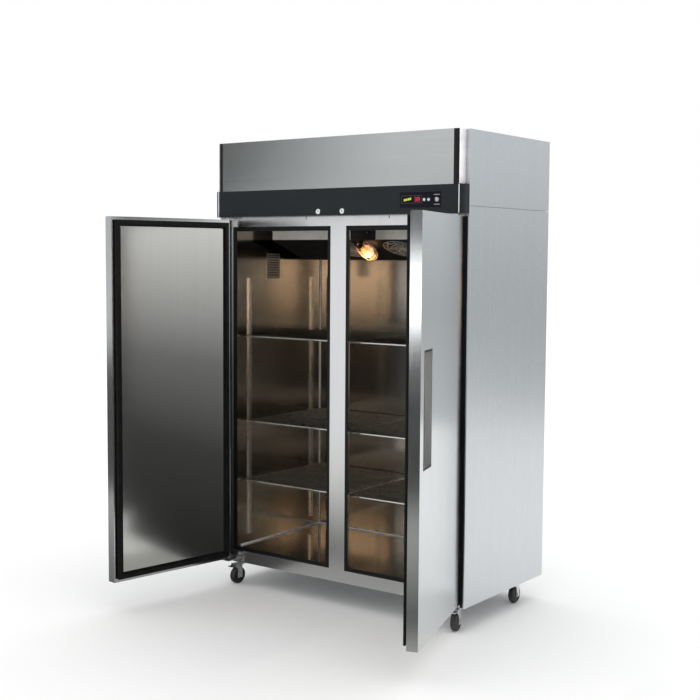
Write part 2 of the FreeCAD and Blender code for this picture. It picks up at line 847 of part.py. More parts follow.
def shelves():
    """Six copies of the one shelf, three in each half."""
    pattern = wire_shelf()
    doc.recompute()
    for word, side in SIDES:
        left_end = spans(side, "shelf_inner_x", "shelf_outer_x")[0]
        stack = []
        for level, top in SHELF_LEVELS:
            shelf = doc.addObject("Part::Feature", "%s_%s_shelf" % (word, level))
            shelf.Shape = pattern.Shape
            stack.append(place(shelf, (left_end, "0", top)))
        node(group(word + "_shelves", stack))


# ---------------------------------------------------------------- machine compartment
def machine_compartment():
    floor = "seam_z"
    base = span_box(
        "compressor_base", ("compressor_x - 110", "compressor_x + 110"), ("-90", "110"), (floor, floor + " + 6")
    )
    shell = cylinder(
        "compressor_shell", "compressor_radius", "compressor_tall", ("compressor_x", "10", floor + " + 5")
    )
    dome = doc.addObject("Part::Sphere", "compressor_dome")
    bind(dome, {"Radius": "compressor_radius"})
    place(dome, ("compressor_x", "10", floor + " + 5 + compressor_tall - 10"))
    stub = cylinder("compressor_stub", "6", "60", ("compressor_x - 110", "10", floor + " + 90"), X_AXIS)
    node(fuse("compressor", [base, shell, dome, stub]))
    x_span = ("condenser_x - condenser_long / 2", "condenser_x + condenser_long / 2")
    z_span = (floor + " + 10", floor + " + 10 + condenser_tall")
    fins = finned_coil("condenser_fins", x_span, ("-250", "-170"), z_span, 18)
    feet = [
        span_box(
            "condenser_foot_%d" % end,
            (x + " - 4", x + " + 4"),
            ("-250", "-60"),
            (floor, floor + " + 14"),
        )
        for end, x in enumerate((x_span[0] + " + 3", x_span[1] + " - 3"))
    ]
    node(fuse("condenser_coil", [fins] + feet))
    condenser_fan()


def condenser_fan():
    """Shrouded fan that draws air through the condenser."""
    centre = Vector(value_of("condenser_x"), -150, value_of("seam_z") + 10 + value_of("condenser_tall") / 2)
    turned = Rotation(X_AXIS, -90)
    half = "condenser_long / 2 - 20"
    plate = span_box(
        "shroud_plate",
        ("condenser_x - (%s)" % half, "condenser_x + (%s)" % half),
        ("-164", "-161"),
        ("seam_z", "seam_z + 10 + condenser_tall"),
    )
    opening = cylinder(
        "shroud_opening",
        "condenser_fan_radius + 8",
        "20",
        ("condenser_x", "-170", "seam_z + 10 + condenser_tall / 2"),
        Y_AXIS,
    )
    sheet_part = cut("shroud_sheet", plate, opening)
    motor = fan_motor(
        "condenser_motor", centre, turned, "condenser_fan_radius + 20", CONDENSER_FAN_DEEP, 0
    )
    bridge = [
        span_box(
            "shroud_bridge_" + word,
            ("condenser_x + %d - 4" % (side * 113), "condenser_x + %d + 4" % (side * 113)),
            ("-163", "-145"),
            ("seam_z + 10 + condenser_tall / 2 - 8", "seam_z + 10 + condenser_tall / 2 + 8"),
        )
        for word, side in SIDES
    ]
    node(fuse("condenser_shroud", [sheet_part, motor] + bridge))
    node(fan("condenser_fan", "condenser_fan_radius", 26, CONDENSER_FAN_DEEP, centre, turned, 6))


# ---------------------------------------------------------------- doors
def hinge_brackets():
    """Four brackets: an arm with a pin, and a plate screwed to the face frame."""
    brackets = []
    for word, side in SIDES:
        arm_x = spans(side, "pivot_x - 40", "pivot_x + 11")
        plate_x = spans(side, "pivot_x - 85", "pivot_x + 11")
        pin_x = mirrored_x(side, "pivot_x")
        for level, arm_z, plate_z, pin_z in (
            ("bottom", ("door_low - 8", "door_low - 3"), ("3", "30"), "door_low - 5"),
            (
                "top",
                ("door_high + 3", "door_high + 8"),
                ("door_high + 3", "door_high + 36"),
                "door_high - pin_long",
            ),
        ):
            name = "%s_%s_hinge" % (word, level)
            arm = span_box(name + "_arm", arm_x, ("pivot_y - 18", "face_y"), arm_z)
            plate = span_box(name + "_plate", plate_x, ("face_y - 4", "face_y"), plate_z)
            pin = cylinder(name + "_pin", "pin_radius", "pin_long + 5", (pin_x, "pivot_y", pin_z))
            brackets.append(fuse(name, [arm, plate, pin]))
    node(group("hinge_brackets", brackets))


def swing(side):
    """Placement that turns a closed door's piece to its stored angle about the hinge pin."""
    angle = value_of("right_open") if side > 0 else -value_of("left_open")
    pivot = Vector(side * value_of("pivot_x"), value_of("pivot_y"), 0)
    return Placement(Vector(), Rotation(Z_AXIS, angle), pivot)


def door_node(item, side):
    item.Placement = swing(side)
    node(item)


def ring(name, side, x_span, y_span, z_span, inset):
    """A rectangular ring of the given width."""
    outer = span_box(name + "_outer", spans(side, *x_span), y_span, z_span)
    inner_x = (x_span[0] + " + " + inset, x_span[1] + " - " + inset)
    inner_z = (z_span[0] + " + " + inset, z_span[1] + " - " + inset)
    inner = span_box(
        name + "_inner", spans(side, *inner_x), (y_span[0] + " - 5", y_span[1] + " + 5"), inner_z
    )
    return cut(name, outer, inner)


def door(word, side):
    x_span = ("door_free_x", "door_hinge_x")
    z_span = ("door_low", "door_high")
    inner_y = "front_y + door_thick"
    sheet_in = "door_sheet"
    name = word + "_door"

    block = span_box(name + "_block", spans(side, *x_span), ("front_y", inner_y), z_span)
    core_x = ("door_free_x + " + sheet_in, "door_hinge_x - " + sheet_in)
    core_z = ("door_low + " + sheet_in, "door_high - " + sheet_in)
    core_y = ("front_y + " + sheet_in, inner_y + " - " + sheet_in)
    core = span_box(name + "_core", spans(side, *core_x), core_y, core_z)
    rim_x = ("door_free_x + door_rim", "door_hinge_x - door_rim")
    rim_z = ("door_low + door_rim", "door_high - door_rim")
    back = span_box(name + "_back", spans(side, *rim_x), (core_y[1] + " - 1", inner_y + " + 5"), rim_z)
    pull_x = spans(side, "pull_free_x", "pull_hinge_x")
    pull_z = ("pull_low", "pull_high")
    pull_hole = span_box(name + "_pull_hole", pull_x, ("front_y - 5", "front_y + 5"), pull_z)
    pan = cut(name + "_pan", block, fuse(name + "_pan_tools", [core, back, pull_hole]))
    pin_x = mirrored_x(side, "pivot_x")
    sockets = []
    bores = []
    spaces = []
    for level, low, bore_low in (
        ("low", "door_low", "door_low - 5"),
        ("high", "door_high - socket_long", "door_high - pin_long - 3"),
    ):
        at = (pin_x, "pivot_y", low)
        sockets.append(cylinder("%s_%s_socket" % (name, level), "socket_radius", "socket_long", at))
        spaces.append(cylinder("%s_%s_space" % (name, level), "socket_radius", "socket_long", at))
        bores.append(
            cylinder(
                "%s_%s_bore" % (name, level),
                "pin_radius + running_gap",
                "pin_long + 8",
                (pin_x, "pivot_y", bore_low),
            )
        )
    shell = cut(
        name + "_outer", fuse(name + "_welded", [pan] + sockets), fuse(name + "_bores", bores)
    )
    door_node(shell, side)

    foam_block = span_box(name + "_foam_block", spans(side, *core_x), core_y, core_z)
    cup_space = span_box(name + "_cup_space", pull_x, ("front_y", "front_y + pull_deep"), pull_z)
    door_node(cut(name + "_foam", foam_block, fuse(name + "_foam_tools", [cup_space] + spaces)), side)

    sheet_panel = span_box(
        name + "_inner_sheet", spans(side, *rim_x), (core_y[1], inner_y), rim_z
    )
    inset = "(door_rim + gasket_wide + 2)"
    dish = span_box(
        name + "_dish",
        spans(side, "door_free_x + " + inset, "door_hinge_x - " + inset),
        (core_y[1], inner_y + " + dish_rise"),
        ("door_low + " + inset, "door_high - " + inset),
    )
    door_node(fuse(name + "_inner", [sheet_panel, dish]), side)

    gasket = ring(
        name + "_gasket", side, rim_x, (inner_y, inner_y + " + gasket_deep"), rim_z, "gasket_wide"
    )
    door_node(gasket, side)

    cup = span_box(name + "_cup_block", pull_x, ("front_y", "front_y + pull_deep"), pull_z)
    cup_hollow = span_box(
        name + "_cup_hollow",
        spans(side, "pull_free_x + pull_wall", "pull_hinge_x - pull_wall"),
        ("front_y - 5", "front_y + pull_deep - pull_wall"),
        ("pull_low + pull_wall", "pull_high - pull_wall"),
    )
    door_node(cut(name + "_pull_cup", cup, cup_hollow), side)


# ---------------------------------------------------------------- casters
CASTERS = (
    ("front_left", -1, "caster_front_y", 262, True),
    ("front_right", 1, "caster_front_y", 285, True),
    ("rear_left", -1, "caster_rear_y", 100, False),
    ("rear_right", 1, "caster_rear_y", 275, False),
)
BRAKE_X = 48
BRAKE_Z = -27


def caster_plate(name, side, y):
    x = mirrored_x(side, "caster_x")
    half = "plate_long / 2"
    plate = span_box(
        name + "_top", (x + " - " + half, x + " + " + half), (y + " - " + half, y + " + " + half),
        ("-plate_thick", "plate_recess"),
    )
    race = cylinder(name + "_race", "18", "11.5", (x, y, "-plate_thick - 11"))
    king = cylinder(name + "_king", "king_radius", "20", (x, y, "-plate_thick - 20"))
    nut = cylinder(name + "_nut", "10", "4.6", (x, y, "-plate_thick - 20.4"))
    return fuse(name, [plate, race, king, nut])


def wheel(name):
    """Wheel turned from one profile, with rounded tread shoulders and recessed faces."""
    body = doc.addObject("PartDesign::Body", name)
    sketch = body.newObject("Sketcher::SketchObject", name + "_profile")
    plane = [item for item in body.Origin.OriginFeatures if item.Role == "XY_Plane"][0]
    sketch.AttachmentSupport = [(plane, "")]
    sketch.MapMode = "FlatFace"
    radius = value_of("wheel_radius")
    half = value_of("wheel_wide") / 2
    bore = value_of("axle_radius") + value_of("running_gap")
    shoulder = 6
    recess = 3
    web_low = 12
    web_high = radius - 9
    points = [
        (bore, -half),
        (web_low, -half),
        (web_low + recess, -half + recess),
        (web_high - recess, -half + recess),
        (web_high, -half),
        (radius - shoulder, -half),
        (radius, -half + shoulder),
        (radius, half - shoulder),
        (radius - shoulder, half),
        (web_high, half),
        (web_high - recess, half - recess),
        (web_low + recess, half - recess),
        (web_low, half),
        (bore, half),
    ]
    for start, end in zip(points, points[1:] + points[:1]):
        sketch.addGeometry(Part.LineSegment(Vector(start[0], start[1], 0), Vector(end[0], end[1], 0)))
    turned = body.newObject("PartDesign::Revolution", name + "_turned")
    turned.Profile = sketch
    turned.ReferenceAxis = (sketch, ["V_Axis"])
    turned.Angle = 360
    return body


def fork(name, braked):
    """Fork with its axle; the front ones also carry the brake lever's pin."""
    crown_top = "-plate_thick - 11.3"
    crown = span_box(name + "_crown", ("-20", "52"), ("-19.5", "19.5"), (crown_top + " - 3", crown_top))
    pieces = [crown]
    for word, side in SIDES:
        low, high = ("16.3", "19.5") if side > 0 else ("-19.5", "-16.3")
        pieces.append(
            span_box(
                "%s_%s_leg" % (name, word), ("14", "42"), (low, high), ("wheel_z - 10", crown_top)
            )
        )
        pieces.append(
            span_box("%s_%s_ear" % (name, word), ("14", "53"), (low, high), ("-34", crown_top))
        )
    pieces.append(
        cylinder(name + "_axle", "axle_radius", "46", ("trail", "-23", "wheel_z"), Y_AXIS)
    )
    for word, y in (("head", "-23"), ("nut", "19")):
        pieces.append(cylinder("%s_%s" % (name, word), "8", "4", ("trail", y, "wheel_z"), Y_AXIS))
    if braked:
        pieces.append(
            cylinder(name + "_brake_pin", "2.5", "38", (str(BRAKE_X), "-19", str(BRAKE_Z)), Y_AXIS)
        )
    hole = cylinder(name + "_king_hole", "king_radius + running_gap", "30", ("0", "0", "-40"))
    return cut(name, fuse(name + "_solid", pieces), hole)


def brake_lever(name):
    hub = cylinder(name + "_hub", "5", "30", (str(BRAKE_X), "-15", str(BRAKE_Z)), Y_AXIS)
    pedal = span_box(
        name + "_pedal",
        ("%d" % BRAKE_X, "%d + 30" % BRAKE_X),
        ("-13", "13"),
        ("%d + 1" % BRAKE_Z, "%d + 4" % BRAKE_Z),
    )
    bore = cylinder(
        name + "_bore", "2.5 + running_gap", "40", (str(BRAKE_X), "-20", str(BRAKE_Z)), Y_AXIS
    )
    return cut(name, fuse(name + "_solid", [hub, pedal]), bore)


def casters():
    plates = []
    for word, side, y, heading, braked in CASTERS:
        plates.append(caster_plate(word + "_plate", side, y))
        swivel = Placement(
            Vector(side * value_of("caster_x"), value_of(y), 0), Rotation(Z_AXIS, heading)
        )
        turned_fork = fork(word + "_fork", braked)
        turned_fork.Placement = swivel
        node(turned_fork)
        rolling = wheel(word + "_wheel")
        axle_at = Vector(value_of("trail"), 0, value_of("wheel_z"))
        rolling.Placement = swivel.multiply(Placement(axle_at, Rotation()))
        node(rolling)
        if braked:
            lever = brake_lever(word + "_brake_lever")
            lever.Placement = swivel
            node(lever)
    node(group("caster_plates", plates))


def check_document():
    """Stops before anything is written if a feature failed or a node's shape is unsound."""
    failed = [item.Name for item in doc.Objects if {"Invalid", "Error"} & set(item.State)]
    for item in nodes:
        shape = item.Shape
        if shape.isNull() or not shape.isValid() or not shape.Solids:
            failed.append(item.Label)
    if failed:
        raise RuntimeError("no sound shape: " + ", ".join(failed))


cabinet_shell()
insulation_and_liner()
face_frame()
top_front()
evaporator()
lamp()
pilasters_and_clips()
shelves()
machine_compartment()
hinge_brackets()
for word, side in SIDES:
    door(word, side)
casters()
doc.recompute()
check_document()

os.makedirs("parts", exist_ok=True)
for item in nodes:
    item.Shape.exportStep("parts/%s.step" % item.Label)
print(len(nodes), "nodes")
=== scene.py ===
"""Looks of the two-door reach-in refrigerator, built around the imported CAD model."""
import fnmatch
import json
import math

import bmesh
import bpy
from mathutils import Matrix, Vector

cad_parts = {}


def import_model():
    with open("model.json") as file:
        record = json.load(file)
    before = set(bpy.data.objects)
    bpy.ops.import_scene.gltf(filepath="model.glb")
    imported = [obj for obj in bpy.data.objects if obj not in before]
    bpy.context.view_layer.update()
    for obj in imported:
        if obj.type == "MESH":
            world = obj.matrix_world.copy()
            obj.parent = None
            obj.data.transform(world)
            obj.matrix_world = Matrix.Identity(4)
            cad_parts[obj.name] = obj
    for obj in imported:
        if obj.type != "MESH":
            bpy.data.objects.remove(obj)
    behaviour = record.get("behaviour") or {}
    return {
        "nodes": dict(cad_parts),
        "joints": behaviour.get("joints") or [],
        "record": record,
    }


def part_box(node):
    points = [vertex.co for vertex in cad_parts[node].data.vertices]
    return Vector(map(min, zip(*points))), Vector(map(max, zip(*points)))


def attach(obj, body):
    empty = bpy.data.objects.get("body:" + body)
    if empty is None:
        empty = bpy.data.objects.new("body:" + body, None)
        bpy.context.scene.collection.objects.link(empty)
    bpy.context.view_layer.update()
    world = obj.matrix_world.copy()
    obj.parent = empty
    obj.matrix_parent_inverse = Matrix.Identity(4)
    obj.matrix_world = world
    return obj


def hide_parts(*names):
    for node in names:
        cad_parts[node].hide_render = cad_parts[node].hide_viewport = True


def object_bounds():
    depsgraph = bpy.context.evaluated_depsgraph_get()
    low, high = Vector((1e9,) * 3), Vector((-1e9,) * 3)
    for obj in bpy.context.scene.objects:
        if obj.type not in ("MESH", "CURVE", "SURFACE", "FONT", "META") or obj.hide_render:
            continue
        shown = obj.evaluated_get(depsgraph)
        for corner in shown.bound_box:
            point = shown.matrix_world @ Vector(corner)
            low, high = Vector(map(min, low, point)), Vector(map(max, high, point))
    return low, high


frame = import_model()
CAD_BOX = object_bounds()
RECORD = frame["record"]
JOINTS = {joint["name"]: joint for joint in frame["joints"]}
BODY = "cabinet"
MM = 0.001
FLOOR_Z = CAD_BOX[0][2]
LINER_SHEET = 1.5 * MM
LAMP_POWER = 1.4  # watts
LAMP_TILT = math.radians(23.5)


def new_object(name, data):
    obj = bpy.data.objects.new(name, data)
    bpy.context.scene.collection.objects.link(obj)
    return obj


# ---- camera, lights, floor
def camera():
    """The photograph's viewing angle, as worked out from the edges of the cabinet."""
    place = Vector((3.2151, -4.6201, 1.4762))  # metres from the middle of the cabinet's underside
    yaw, pitch, roll = (math.radians(a) for a in (36.284, 4.488, 0.360))
    ahead = Vector(
        (-math.sin(yaw) * math.cos(pitch), math.cos(yaw) * math.cos(pitch), -math.sin(pitch))
    )
    right = Vector((math.cos(yaw), math.sin(yaw), 0))
    up = right.cross(ahead)
    rolled_right = math.cos(roll) * right + math.sin(roll) * up
    rolled_up = -math.sin(roll) * right + math.cos(roll) * up
    data = bpy.data.cameras.new("camera")
    data.sensor_width = 36
    data.lens = 61.81
    data.clip_end = 200
    obj = new_object("camera", data)
    turn = Matrix((rolled_right, rolled_up, -ahead)).transposed().to_4x4()
    obj.matrix_world = Matrix.Translation(place) @ turn
    bpy.context.scene.camera = obj


def overhead_light():
    """A very broad light from above, which whitens the floor."""
    data = bpy.data.lights.new("overhead", "SUN")
    data.energy = 0.9
    data.angle = math.radians(70)
    new_object("overhead", data).visible_glossy = False


def lamp_light(place):
    """The warm light of the cabinet's own lamp."""
    data = bpy.data.lights.new("lamp_glow", "POINT")
    data.energy = LAMP_POWER
    data.color = (1.0, 0.60, 0.30)
    data.shadow_soft_size = 0.02
    obj = new_object("lamp_glow", data)
    obj.location = place
    obj.visible_camera = False
    obj.visible_glossy = False


def world():
    """Plain white surroundings."""
    sky = bpy.data.worlds.new("studio")
    bpy.context.scene.world = sky
    sky.use_nodes = True
    back = sky.node_tree.nodes["Background"]
    back.inputs["Color"].default_value = (1, 1, 1, 1)
    back.inputs["Strength"].default_value = 1.0


def reflector(name, corners, axis, shades, colour=(1, 1, 1), one_sided=False):
    """A studio card that shows in polished metal only.

    shades are (place, brightness) pairs along one axis, in metres, from low to high. A
    one-sided card is clear from behind, and an upright one faces the front."""
    mesh = bpy.data.meshes.new(name)
    mesh.from_pydata([Vector(c) for c in corners], [], [(0, 1, 2, 3)])
    card = bpy.data.materials.new(name)
    card.use_nodes = True
    tree = card.node_tree
    tree.nodes.remove(tree.nodes["Principled BSDF"])
    coords = add(tree, "TexCoord")
    parts = add(tree, "SeparateXYZ", {"Vector": coords.outputs["Object"]})
    first, last = shades[0][0], shades[-1][0]
    share = remap(tree, parts.outputs[axis], 0.0, 1.0, first, last)
    stops = [((place - first) / (last - first), tone(colour, shade)) for place, shade in shades]
    glow = add(tree, "Emission", {"Color": ramp(tree, share, stops), "Strength": 1.0})
    shown = glow.outputs["Emission"]
    if one_sided:
        behind = add(tree, "NewGeometry").outputs["Backfacing"]
        clear = add(tree, "BsdfTransparent").outputs["BSDF"]
        shown = add(tree, "MixShader", {0: behind, 1: shown, 2: clear}).outputs["Shader"]
    tree.links.new(shown, tree.nodes["Material Output"].inputs["Surface"])
    mesh.materials.append(card)
    obj = new_object(name, mesh)
    obj.visible_camera = False
    obj.visible_diffuse = False
    obj.visible_shadow = False


def upright(name, start, end, low, high, axis, shades, colour=(1, 1, 1)):
    """A vertical card over a line on the floor."""
    corners = [(*start, low), (*end, low), (*end, high), (*start, high)]
    reflector(name, corners, axis, shades, colour)


def floor_card(name, x_span, y_span, shades):
    """A card that lies just over the floor."""
    z = FLOOR_Z + 4 * MM
    (x0, x1), (y0, y1) = x_span, y_span
    reflector(name, [(x0, y0, z), (x1, y0, z), (x1, y1, z), (x0, y1, z)], "Y", shades, (1, 1, 0.95))


def door_card():
    """A one-sided card across the openings, which shades the open left door's liner."""
    low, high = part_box("face_frame")
    y = low.y - 3 * MM
    x0, x1 = low.x - 30 * MM, high.x * 0.9
    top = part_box("left_door_inner")[1].z + 60 * MM
    foot = FLOOR_Z + 5 * MM
    corners = [(x0, y, foot), (x1, y, foot), (x1, y, top), (x0, y, top)]
    shades = [(0, 0.025), (0.5, 0.06), (0.95, 0.20), (1.3, 0.52), (1.6, 0.82)]
    reflector("door_card", corners, "Z", shades, (1, 1, 0.98), True)


# floor cards darken the floor's reflection: name, reach in x and y, and (y, brightness) pairs
FLOOR_CARDS = (
    (
        "floor_card_middle", (-0.60, 0.2), (-3.4, -0.36),
        ((-2.6, 0.86), (-2.0, 0.52), (-1.15, 0.19), (-0.8, 0.40)),
    ),
    (
        "floor_card_left", (-3.3, -0.60), (-3.4, 0.45),
        ((-2.6, 0.86), (-2.0, 0.52), (-1.15, 0.19), (-0.95, 0.05)),
    ),
    (
        "floor_card_beyond", (1.5, 8), (-6.9, -0.36),
        ((-6.9, 0.02), (-4.0, 0.03), (-3.4, 0.26), (-2.8, 0.28), (-1.8, 0.12)),
    ),
    (
        "floor_card_right", (0.2, 1.5), (-6.9, -0.36),
        (
            (-6.9, 0.03), (-4.5, 0.06), (-3.7, 0.55), (-2.8, 0.40),
            (-1.8, 0.12), (-1.3, 0.5), (-1.05, 0.8),
        ),
    ),
    ("floor_card_far", (-14, -3.3), (-6.9, -0.36), ((-6.9, 0.08), (-0.4, 0.10))),
)


def floor_and_lights():
    bm = bmesh.new()
    bmesh.ops.create_grid(bm, x_segments=8, y_segments=8, size=60)
    mesh = bpy.data.meshes.new("studio_floor")
    bm.to_mesh(mesh)
    bm.free()
    floor = new_object("studio_floor", mesh)
    floor.location.z = FLOOR_Z
    mesh.materials.append(floor_paper())
    backdrop = ((0, 0.08), (3, 0.16))
    upright("dark_backdrop", (-14, -7.0), (1.2, -7.0), FLOOR_Z, 7, "Z", backdrop, (0.85, 0.95, 1.0))
    backdrop = ((0, 0.02), (2, 0.05), (3, 0.16))
    upright("right_backdrop", (1.2, -7.0), (9, -7.0), FLOOR_Z, 7, "Z", backdrop, (1.0, 0.95, 0.85))
    key = ((0, 1.02), (0.9, 1.08), (1.8, 1.08))
    upright("key_card", (-3.3, -3.4), (-1.0, -3.4), FLOOR_Z, 1.84, "Z", key)
    upper = ((-4.7, 0.08), (-2.9, 0.92))
    upright("upper_card", (-8.0, -5.0), (-0.9, -5.0), 2.02, 5.5, "X", upper, (0.97, 1.0, 1.0))
    warm = ((0.98, 1.4), (1.46, 3.8))
    upright("warm_card", (1.2, -3.4), (3.4, -3.0), 0.98, 1.46, "Z", warm, (1.0, 0.78, 0.58))
    edge = ((1.0, 3.0), (1.45, 3.2))
    upright("edge_card", (0.45, -4.4), (1.5, -4.4), 1.00, 1.45, "Z", edge)
    rear = ((0, 0.66), (1.0, 0.55), (2.6, 0.84))
    upright("rear_card", (-1.5, 6.0), (14, 6.0), FLOOR_Z, 7, "Z", rear, (0.96, 0.99, 1.0))
    for name, x_span, y_span, shades in FLOOR_CARDS:
        floor_card(name, x_span, y_span, shades)
    door_card()
    low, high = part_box("lamp_bulb")
    lamp_light((low + high) / 2 - Vector((0, 0, 0.03)))
    overhead_light()
    world()
    bpy.context.scene.view_settings.view_transform = "Standard"


# ---- node helpers
def feed(tree, socket, value):
    """Links a socket to an input, or sets the input to a plain value."""
    if isinstance(value, bpy.types.NodeSocket):
        tree.links.new(value, socket)
    else:
        socket.default_value = value


def add(tree, kind, inputs=None, **props):
    """One node with its inputs fed and its properties set."""
    node = tree.nodes.new("ShaderNode" + kind)
    for name, value in props.items():
        setattr(node, name, value)
    for name, value in (inputs or {}).items():
        feed(tree, node.inputs[name], value)
    return node


def ramp(tree, factor, stops):
    """Colour ramp through (position, (r, g, b)) stops."""
    node = add(tree, "ValToRGB", {"Fac": factor})
    elements = node.color_ramp.elements
    while len(elements) < len(stops):
        elements.new(0.5)
    for element, (position, colour) in zip(elements, stops):
        element.position = position
        element.color = (*colour, 1)
    return node.outputs["Color"]


def grain(tree, scale, detail=3.0, rough=0.55, shift=(0, 0, 0)):
    """Noise in the object's own coordinates; scale is one or three numbers, per metre."""
    if not isinstance(scale, tuple):
        scale = (scale, scale, scale)
    coords = add(tree, "TexCoord")
    mapping = add(
        tree, "Mapping", {"Vector": coords.outputs["Object"], "Scale": scale, "Location": shift}
    )
    inputs = {"Vector": mapping.outputs["Vector"], "Scale": 1.0, "Detail": detail, "Roughness": rough}
    return add(tree, "TexNoise", inputs).outputs["Fac"]


def cell_pattern(tree, scale):
    coords = add(tree, "TexCoord").outputs["Object"]
    return add(tree, "TexVoronoi", {"Vector": coords, "Scale": scale}, feature="F1")


def remap(tree, value, low, high, from_low=0.3, from_high=0.7):
    inputs = {"Value": value, "From Min": from_low, "From Max": from_high}
    inputs.update({"To Min": low, "To Max": high})
    return add(tree, "MapRange", inputs).outputs["Result"]


def combine(tree, a, b, kind="ADD"):
    node = add(tree, "Math", operation=kind)
    for socket, value in zip(node.inputs, (a, b)):
        feed(tree, socket, value)
    return node.outputs["Value"]


def bump(tree, height, strength, distance, before=None):
    inputs = {"Height": height, "Strength": strength, "Distance": distance}
    if before is not None:
        inputs["Normal"] = before
    return add(tree, "Bump", inputs).outputs["Normal"]


def material(name):
    """A new material with its tree and Principled shader."""
    made = bpy.data.materials.new(name)
    made.use_nodes = True
    return made, made.node_tree, made.node_tree.nodes["Principled BSDF"]


def tone(colour, gain, lift=0.0):
    return tuple(c * gain + lift for c in colour)


def drive(tree, shader, **sockets):
    """Links or sets the shader's inputs, named with _ for a space."""
    for name, value in sockets.items():
        feed(tree, shader.inputs[name.replace("_", " ")], value)


def painted_edge_highlight(tree, base, colour):
    """Painted highlight: lightens base along sharp edges, found where a rounded normal leaves the
    flat one, as if rounded edges caught the light.
    """
    flat = add(tree, "NewGeometry").outputs["Normal"]
    soft = add(tree, "Bevel", {"Radius": 0.8 * MM}, samples=2).outputs["Normal"]
    along = add(tree, "VectorMath", {0: flat, 1: soft}, operation="DOT_PRODUCT").outputs["Value"]
    mask = remap(tree, along, 0.6, 0.0, 0.75, 0.98)
    node = add(tree, "MixRGB", {"Fac": mask, "Color1": base, "Color2": (*colour, 1)})
    return node.outputs["Color"]


# ---- metals
ALONG = {"x": (5, 1100, 1100), "y": (1100, 5, 1100), "z": (1100, 1100, 5)}
STREAKS = {"x": (0.8, 55, 55), "y": (55, 0.8, 55), "z": (55, 55, 0.8)}


def brushed_steel(name, axis, tint, rough, depth=0.12, smudge=0.02):
    """Brushed sheet: fine scratches along one axis, broad streaks and faint smudges."""
    made, tree, shader = material(name)
    fine = grain(tree, ALONG[axis], 2.0)
    streak = grain(tree, STREAKS[axis], 3.0)
    cloud = grain(tree, 5, 4.0, 0.6, (3, 7, 1))
    dark = tone(tint, 0.985)
    light = tuple(min(c * 1.015, 1.0) for c in tint)
    colour = ramp(tree, streak, [(0.3, dark), (0.7, light)])
    base = remap(tree, fine, rough[0], rough[1])
    clouded = combine(tree, base, remap(tree, cloud, -smudge / 2, smudge))
    drive(tree, shader, Metallic=1.0, Base_Color=colour, Roughness=clouded)
    drive(tree, shader, Normal=bump(tree, fine, depth, 0.00004))
    return made


def galvanised():
    """Zinc-coated sheet with its spangle."""
    made, tree, shader = material("galvanised_sheet")
    cells = cell_pattern(tree, 70.0)
    value = add(tree, "SeparateColor", {"Color": cells.outputs["Color"]}).outputs["Red"]
    fine = grain(tree, 400, 4.0)
    colour = ramp(tree, value, [(0.0, (0.44, 0.46, 0.47)), (1.0, (0.60, 0.62, 0.64))])
    rough = combine(tree, remap(tree, value, 0.30, 0.46, 0, 1), remap(tree, fine, -0.03, 0.05))
    drive(tree, shader, Metallic=0.95, Base_Color=colour, Roughness=rough)
    drive(tree, shader, Normal=bump(tree, fine, 0.12, 0.0002))
    return made


def plated(name, tint, rough):
    """Bright plating on wire or a small casting."""
    made, tree, shader = material(name)
    fine = grain(tree, 600, 4.0)
    dull = grain(tree, 30, 3.0, 0.6, (5, 2, 9))
    colour = ramp(tree, dull, [(0.3, tone(tint, 0.85)), (0.7, tint)])
    roughness = combine(tree, remap(tree, dull, *rough), remap(tree, fine, -0.02, 0.04))
    # painted highlight: the colour goes paler along sharp edges
    edge_highlit_colour = painted_edge_highlight(tree, colour, (0.9, 0.9, 0.9))
    drive(tree, shader, Metallic=1.0, Base_Color=edge_highlit_colour, Roughness=roughness)
    drive(tree, shader, Normal=bump(tree, fine, 0.10, 0.0001))
    return made


def copper_tube():
    made, tree, shader = material("copper_tube")
    dull = grain(tree, 45, 5.0, 0.65)
    fine = grain(tree, 500, 3.0)
    hues = [(0.32, (0.30, 0.13, 0.07)), (0.55, (0.62, 0.30, 0.17)), (0.75, (0.78, 0.44, 0.27))]
    colour = ramp(tree, dull, hues)
    drive(tree, shader, Metallic=1.0, Base_Color=colour, Roughness=remap(tree, dull, 0.42, 0.24))
    drive(tree, shader, Normal=bump(tree, fine, 0.12, 0.0001))
    return made


def finned_aluminium():
    """Aluminium with the fine lines of pressed fins."""
    made, tree, shader = material("fin_aluminium_sheet")
    lines = grain(tree, (900, 8, 8), 1.0)
    dust = grain(tree, 25, 5.0, 0.6)
    colour = ramp(tree, dust, [(0.35, (0.52, 0.53, 0.53)), (0.65, (0.74, 0.75, 0.76))])
    drive(tree, shader, Metallic=0.9, Base_Color=colour, Roughness=remap(tree, dust, 0.50, 0.30))
    drive(tree, shader, Normal=bump(tree, lines, 0.3, 0.0003))
    return made


# ---- paints, plastics, rubber
def coated(name, tint, rough, texture, depth, gloss=0.5, coat=0.0):
    """Paint or moulded plastic: fine texture, slow changes in gloss, a painted highlight along sharp
    edges.
    """
    made, tree, shader = material(name)
    fine = grain(tree, texture, 3.0)
    slow = grain(tree, 14, 4.0, 0.6, (2, 8, 4))
    colour = ramp(tree, slow, [(0.3, tone(tint, 0.82)), (0.7, tone(tint, 1.12))])
    # painted highlight colour for the sharp edges
    edge_highlight_tint = tone(tint, 1.8, 0.02)
    roughness = combine(tree, remap(tree, slow, *rough), remap(tree, fine, -0.04, 0.06))
    relief = bump(tree, fine, depth, 0.0002, bump(tree, slow, 0.04, 0.002))
    drive(tree, shader, Specular_IOR_Level=gloss, Coat_Weight=coat, Coat_Roughness=0.12)
    drive(tree, shader, Base_Color=painted_edge_highlight(tree, colour, edge_highlight_tint), Roughness=roughness, Normal=relief)
    return made


